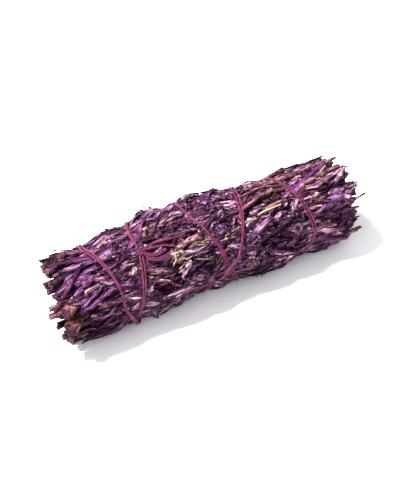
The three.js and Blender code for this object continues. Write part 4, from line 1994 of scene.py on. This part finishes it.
    def build(self, scatter: LeafScatter, board: CuttingBoard,
              cotton: bpy.types.Material) -> dict[str, bpy.types.Object]:
        """Builds the whole binding.

        Args:
            scatter: sets lint on seats.
            board: the patterns, lint among them.
            cotton: the thread's finish.

        Returns:
            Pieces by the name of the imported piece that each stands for.
        """
        routes = {
            "thread_strand_a": self.strand_route(-self.spacing / 2),
            "thread_strand_b": self.strand_route(self.spacing / 2),
            "thread_knot": self.knot_route(),
        }
        routes.update({name: self._along(places, 1.1) for name, places in self.tails.items()})
        routes.update({name: self._hairpin(places) for name, places in self.loops.items()})
        pieces = {}
        for number, (node, route) in enumerate(routes.items()):
            piece = self.thread.build(f"{node}_core", route)
            piece.data.materials.append(cotton)
            show(piece)
            lint = scatter.scatter(self._lint(route, number, board), f"{node}_lint", 0.2, 0.9,
                                   number * 5.1, cotton, cotton)
            loose = read_points(lint.data) * MM
            loose[:, 2] = np.maximum(loose[:, 2], 0.0)
            write_points(lint.data, loose)
            pieces[node] = join([piece, lint], f"{node}_spun")
        return pieces

    def _lint(self, route: np.ndarray, number: int, board: CuttingBoard) -> Seats:
        """Seats of the loose fibres on one thread.

        Args:
            route: the thread's middle line, in metres.
            number: number of the thread, for its seed.
            board: the patterns, lint among them.

        Returns:
            The seats, in millimetres.
        """
        rng = np.random.default_rng(900 + number)
        length = np.linalg.norm(np.diff(route, axis=0), axis=1).sum() / MM
        count = int(length / 1.6) + 6
        pick = rng.integers(0, len(route) - 1, count)
        pick[:3], pick[3:6] = 1, len(route) - 2
        cut = rng.choice(board.numbers(Growth.LINT), count)
        turn = rng.uniform(-math.pi, math.pi, (count, 3))
        size = np.repeat(rng.uniform(0.25, 0.6, (count, 1)), 3, 1)
        size[:, 1:] = 1.0
        return Seats(route[pick] / MM, turn, size, cut, np.full(count, 0.5), np.zeros(count))


# ---- The whole stick ---------------------------------------------------------------------------


@dataclass(frozen=True)
class Layer:
    """One ring of sprigs.

    Attributes:
        name: first part of its pieces' names.
        count: sprigs in it.
        depth: layers over it.
        start: degrees at which its first sprig lies.
    """

    name: str
    count: int
    depth: int
    start: float


@dataclass
class SmudgeStick:
    """The bundle of sprigs and its binding.

    Attributes:
        shape: the bundle's form.
        layers: its rings of sprigs.
        front_overhang: how much longer the stems at the front are at the cut end.
        longest_at: angle up the front of the longest of them, radians.
        low_recess: how much shorter the lowest ones are there.
        tip_recess: how much shorter the front sprigs are at the tips.
        special_stems: stems that can be told from the others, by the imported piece.
    """

    shape: BundleShape
    layers: tuple[Layer, ...] = (
        Layer("heart_sprig", 3, 3, 30),
        Layer("inner_sprig", 9, 2, 10),
        Layer("middle_sprig", 15, 1, -90),
        Layer("outer_sprig", 21, 0, -90),
    )
    front_overhang: float = 5.2
    longest_at: float = 0.75
    low_recess: float = 2.2
    tip_recess: float = 3.6
    special_stems: dict[str, Stem] = field(default_factory=lambda: {
        "outer_sprig_07": Stem(radius=0.8, heel=0.7, out=-1.6, tint=0.3, overhang=2.5, sides_grown=0),
        "outer_sprig_08": Stem(radius=0.8, heel=0.7, out=-1.2, tint=0.3, overhang=4.0, sides_grown=1),
        "outer_sprig_04": Stem(radius=0.9, heel=1.0, tint=0.2, overhang=0.5),
    })

    def sprigs(self) -> list[Sprig]:
        """Every sprig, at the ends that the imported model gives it.

        Returns:
            The sprigs, from the middle outwards.
        """
        step = 2 * self.shape.sprig_radius + 0.3
        found = []
        for layer in self.layers:
            ring_radius = self.shape.radius - self.shape.sprig_radius - layer.depth * step
            for number in range(layer.count):
                node = f"{layer.name}_{number + 1:02d}"
                low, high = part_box(node)
                seed = 100 * layer.depth + number + 7
                rng = np.random.default_rng(seed + 500)
                angle = math.radians(layer.start + 360 * number / layer.count)
                stem = self.special_stems.get(node) or Stem(
                    radius=rng.uniform(0.75, 1.05), heel=rng.uniform(0.75, 1.15),
                    out=rng.uniform(-0.7, 0.15), tint=rng.uniform(0.05, 0.6),
                    overhang=self.front_overhang * max(0.0, math.cos(angle - self.longest_at)) ** 1.5
                    - self.low_recess * max(0.0, -math.sin(angle)) ** 4)
                found.append(Sprig(node, ring_radius, angle, layer.depth,
                                   low.x / MM + self.shape.footprint[0],
                                   high.x / MM + self.shape.footprint[0]
                                   - self.tip_recess * max(0.0, math.cos(angle + 0.35)) ** 2, seed, stem))
        return found

    def build(self, frame: dict) -> None:
        """Builds every piece and hands it to the frame.

        Args:
            frame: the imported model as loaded.
        """
        slots = {part["node"]: part["material_slot"] for part in frame["record"]["subparts"]}
        board = CuttingBoard()
        patterns = board.build()
        scatter = LeafScatter(patterns)
        finishes = {
            # The colour after each palette is painted shade for the backs of the leaves; stems show none of
            # it.
            "leaf": HerbFinish("dyed_leaf", LEAF_PALETTE, tone(44, 16, 32), 0.55,
                               tone(160, 116, 144), tone(66, 40, 38)).material(),
            # Stems and litter get grain ramps of their own, also with painted highlight and painted shade.
            "stem": HerbFinish("dyed_stem", STEM_PALETTE, tone(66, 30, 36), 0.0,
                               tone(122, 86, 90), tone(78, 48, 44),
                               ((0.0, gray(1.8)), (0.4, gray(1.05)), (0.75, (0.42, 0.3, 0.36, 1.0)),
                                (1.0, (0.14, 0.08, 0.12, 1.0))),
                               palest=tone(168, 127, 128),
                               painted_margin_shade=0.5, fibres=3.0, relief=0.00026).material(),
            "pale": HerbFinish("undyed_litter", STRAW_PALETTE, tone(106, 78, 66), 0.4,
                               tone(226, 208, 190), tone(148, 122, 104),
                               ((0.0, gray(1.6)), (0.5, gray(0.9)), (1.0, (0.4, 0.28, 0.2, 1.0))), 0.76,
                               palest=tone(228, 208, 184), painted_margin_shade=0.5, fibres=3.0).material(),
        }
        cotton = CottonFinish("magenta_cotton", tone(20, 2, 8), tone(72, 8, 30),
                              tone(124, 54, 86), tone(58, 24, 50)).material()
        for sprig in self.sprigs():
            piece = sprig.build(scatter, board, self.shape, finishes)
            self._hand_over(piece, sprig.node, slots)
        for node, piece in Binding(self.shape).build(scatter, board, cotton).items():
            self._hand_over(piece, node, slots)
        for cut in list(patterns.objects):
            bpy.data.objects.remove(cut)
        bpy.data.collections.remove(patterns)

    @staticmethod
    def _hand_over(piece: bpy.types.Object, node: str, slots: dict[str, str]) -> None:
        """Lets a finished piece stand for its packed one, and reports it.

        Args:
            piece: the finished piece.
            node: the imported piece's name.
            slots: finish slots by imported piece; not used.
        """
        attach(piece, BODY)
        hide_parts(node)
        LOG.info("%s: %d faces for %s", piece.name, len(piece.data.polygons), node)


@dataclass
class Studio:
    """Floor, lights and camera.

    Attributes:
        azimuth, elevation: where the camera stands, degrees.
        distance: camera to the middle of the bundle, metres.
        lens: focal length for a 36 mm sensor.
        shift: small shift of the picture.
        aim_height: height of the point that it looks at.
    """

    azimuth: float = -29.5
    elevation: float = 42.0
    distance: float = 0.36
    lens: float = 76.9
    shift: tuple[float, float] = (-0.01, -0.006)
    aim_height: float = 0.0129

    def build(self) -> None:
        """Adds all of it to the scene."""
        self._floor()
        self._lights()
        self._camera()

    def _floor(self) -> None:
        """A plain pale floor."""
        mesh = bpy.data.meshes.new("floor")
        half = 1.5
        mesh.from_pydata([(-half, -half, 0), (half, -half, 0), (half, half, 0), (-half, half, 0)],
                         [], [(0, 1, 2, 3)])
        floor = bpy.data.objects.new("floor", mesh)
        show(floor)
        material, _, shader = new_material("pale_floor")
        shader.inputs["Base Color"].default_value = (0.86, 0.86, 0.87, 1.0)
        shader.inputs["Roughness"].default_value = 0.7
        mesh.materials.append(material)
        floor.location.z = -0.0001

    def _lamp(self, name: str, azimuth: float, elevation: float, distance: float, size: float,
              energy: float, color: Color) -> None:
        """One square soft lamp that faces the bundle.

        Args:
            name: the lamp's name.
            azimuth, elevation: where it stands, degrees.
            distance: how far off, metres.
            size: its side, metres.
            energy: its power, watts.
            color: its colour.
        """
        data = bpy.data.lights.new(name, "AREA")
        data.size, data.energy, data.color = size, energy, color
        lamp = bpy.data.objects.new(name, data)
        show(lamp)
        lamp.location = self._around(azimuth, elevation, distance)
        lamp.rotation_euler = (-lamp.location).to_track_quat("-Z", "Y").to_euler()

    @staticmethod
    def _around(azimuth: float, elevation: float, distance: float) -> Vector:
        """A point around the origin: azimuth 0 stands toward -Y."""
        a, e = math.radians(azimuth), math.radians(elevation)
        return Vector((math.sin(a) * math.cos(e), -math.cos(a) * math.cos(e), math.sin(e))) * distance

    def _lights(self) -> None:
        """A soft key from the upper left, a weak fill and an even sky."""
        self._lamp("key", -118, 60, 0.9, 0.14, 43.5, (1.0, 0.98, 0.96))
        self._lamp("fill", -50, 40, 1.1, 0.8, 5.0, (0.94, 0.92, 1.0))
        world = bpy.data.worlds.new("studio")
        world.use_nodes = True
        sky = world.node_tree.nodes["Background"]
        sky.inputs["Color"].default_value = (1.0, 1.0, 1.0, 1.0)
        sky.inputs["Strength"].default_value = 0.95
        bpy.context.scene.world = world

    def _camera(self) -> None:
        """The camera."""
        data = bpy.data.cameras.new("camera")
        data.lens = self.lens
        data.shift_x, data.shift_y = self.shift
        data.clip_start = 0.01
        camera = bpy.data.objects.new("camera", data)
        show(camera)
        aim = Vector((0.0, 0.0, self.aim_height))
        camera.location = aim + self._around(self.azimuth, self.elevation, self.distance)
        camera.rotation_euler = (aim - camera.location).to_track_quat("-Z", "Y").to_euler()
        bpy.context.scene.camera = camera


def main() -> None:
    """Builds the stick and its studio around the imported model."""
    logging.basicConfig(level=logging.INFO, format="%(name)s %(message)s")
    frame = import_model()
    bpy.context.scene.view_settings.view_transform = "Standard"
    Studio().build()
    SmudgeStick(BundleShape()).build(frame)


if __name__ == "__main__":
    main()
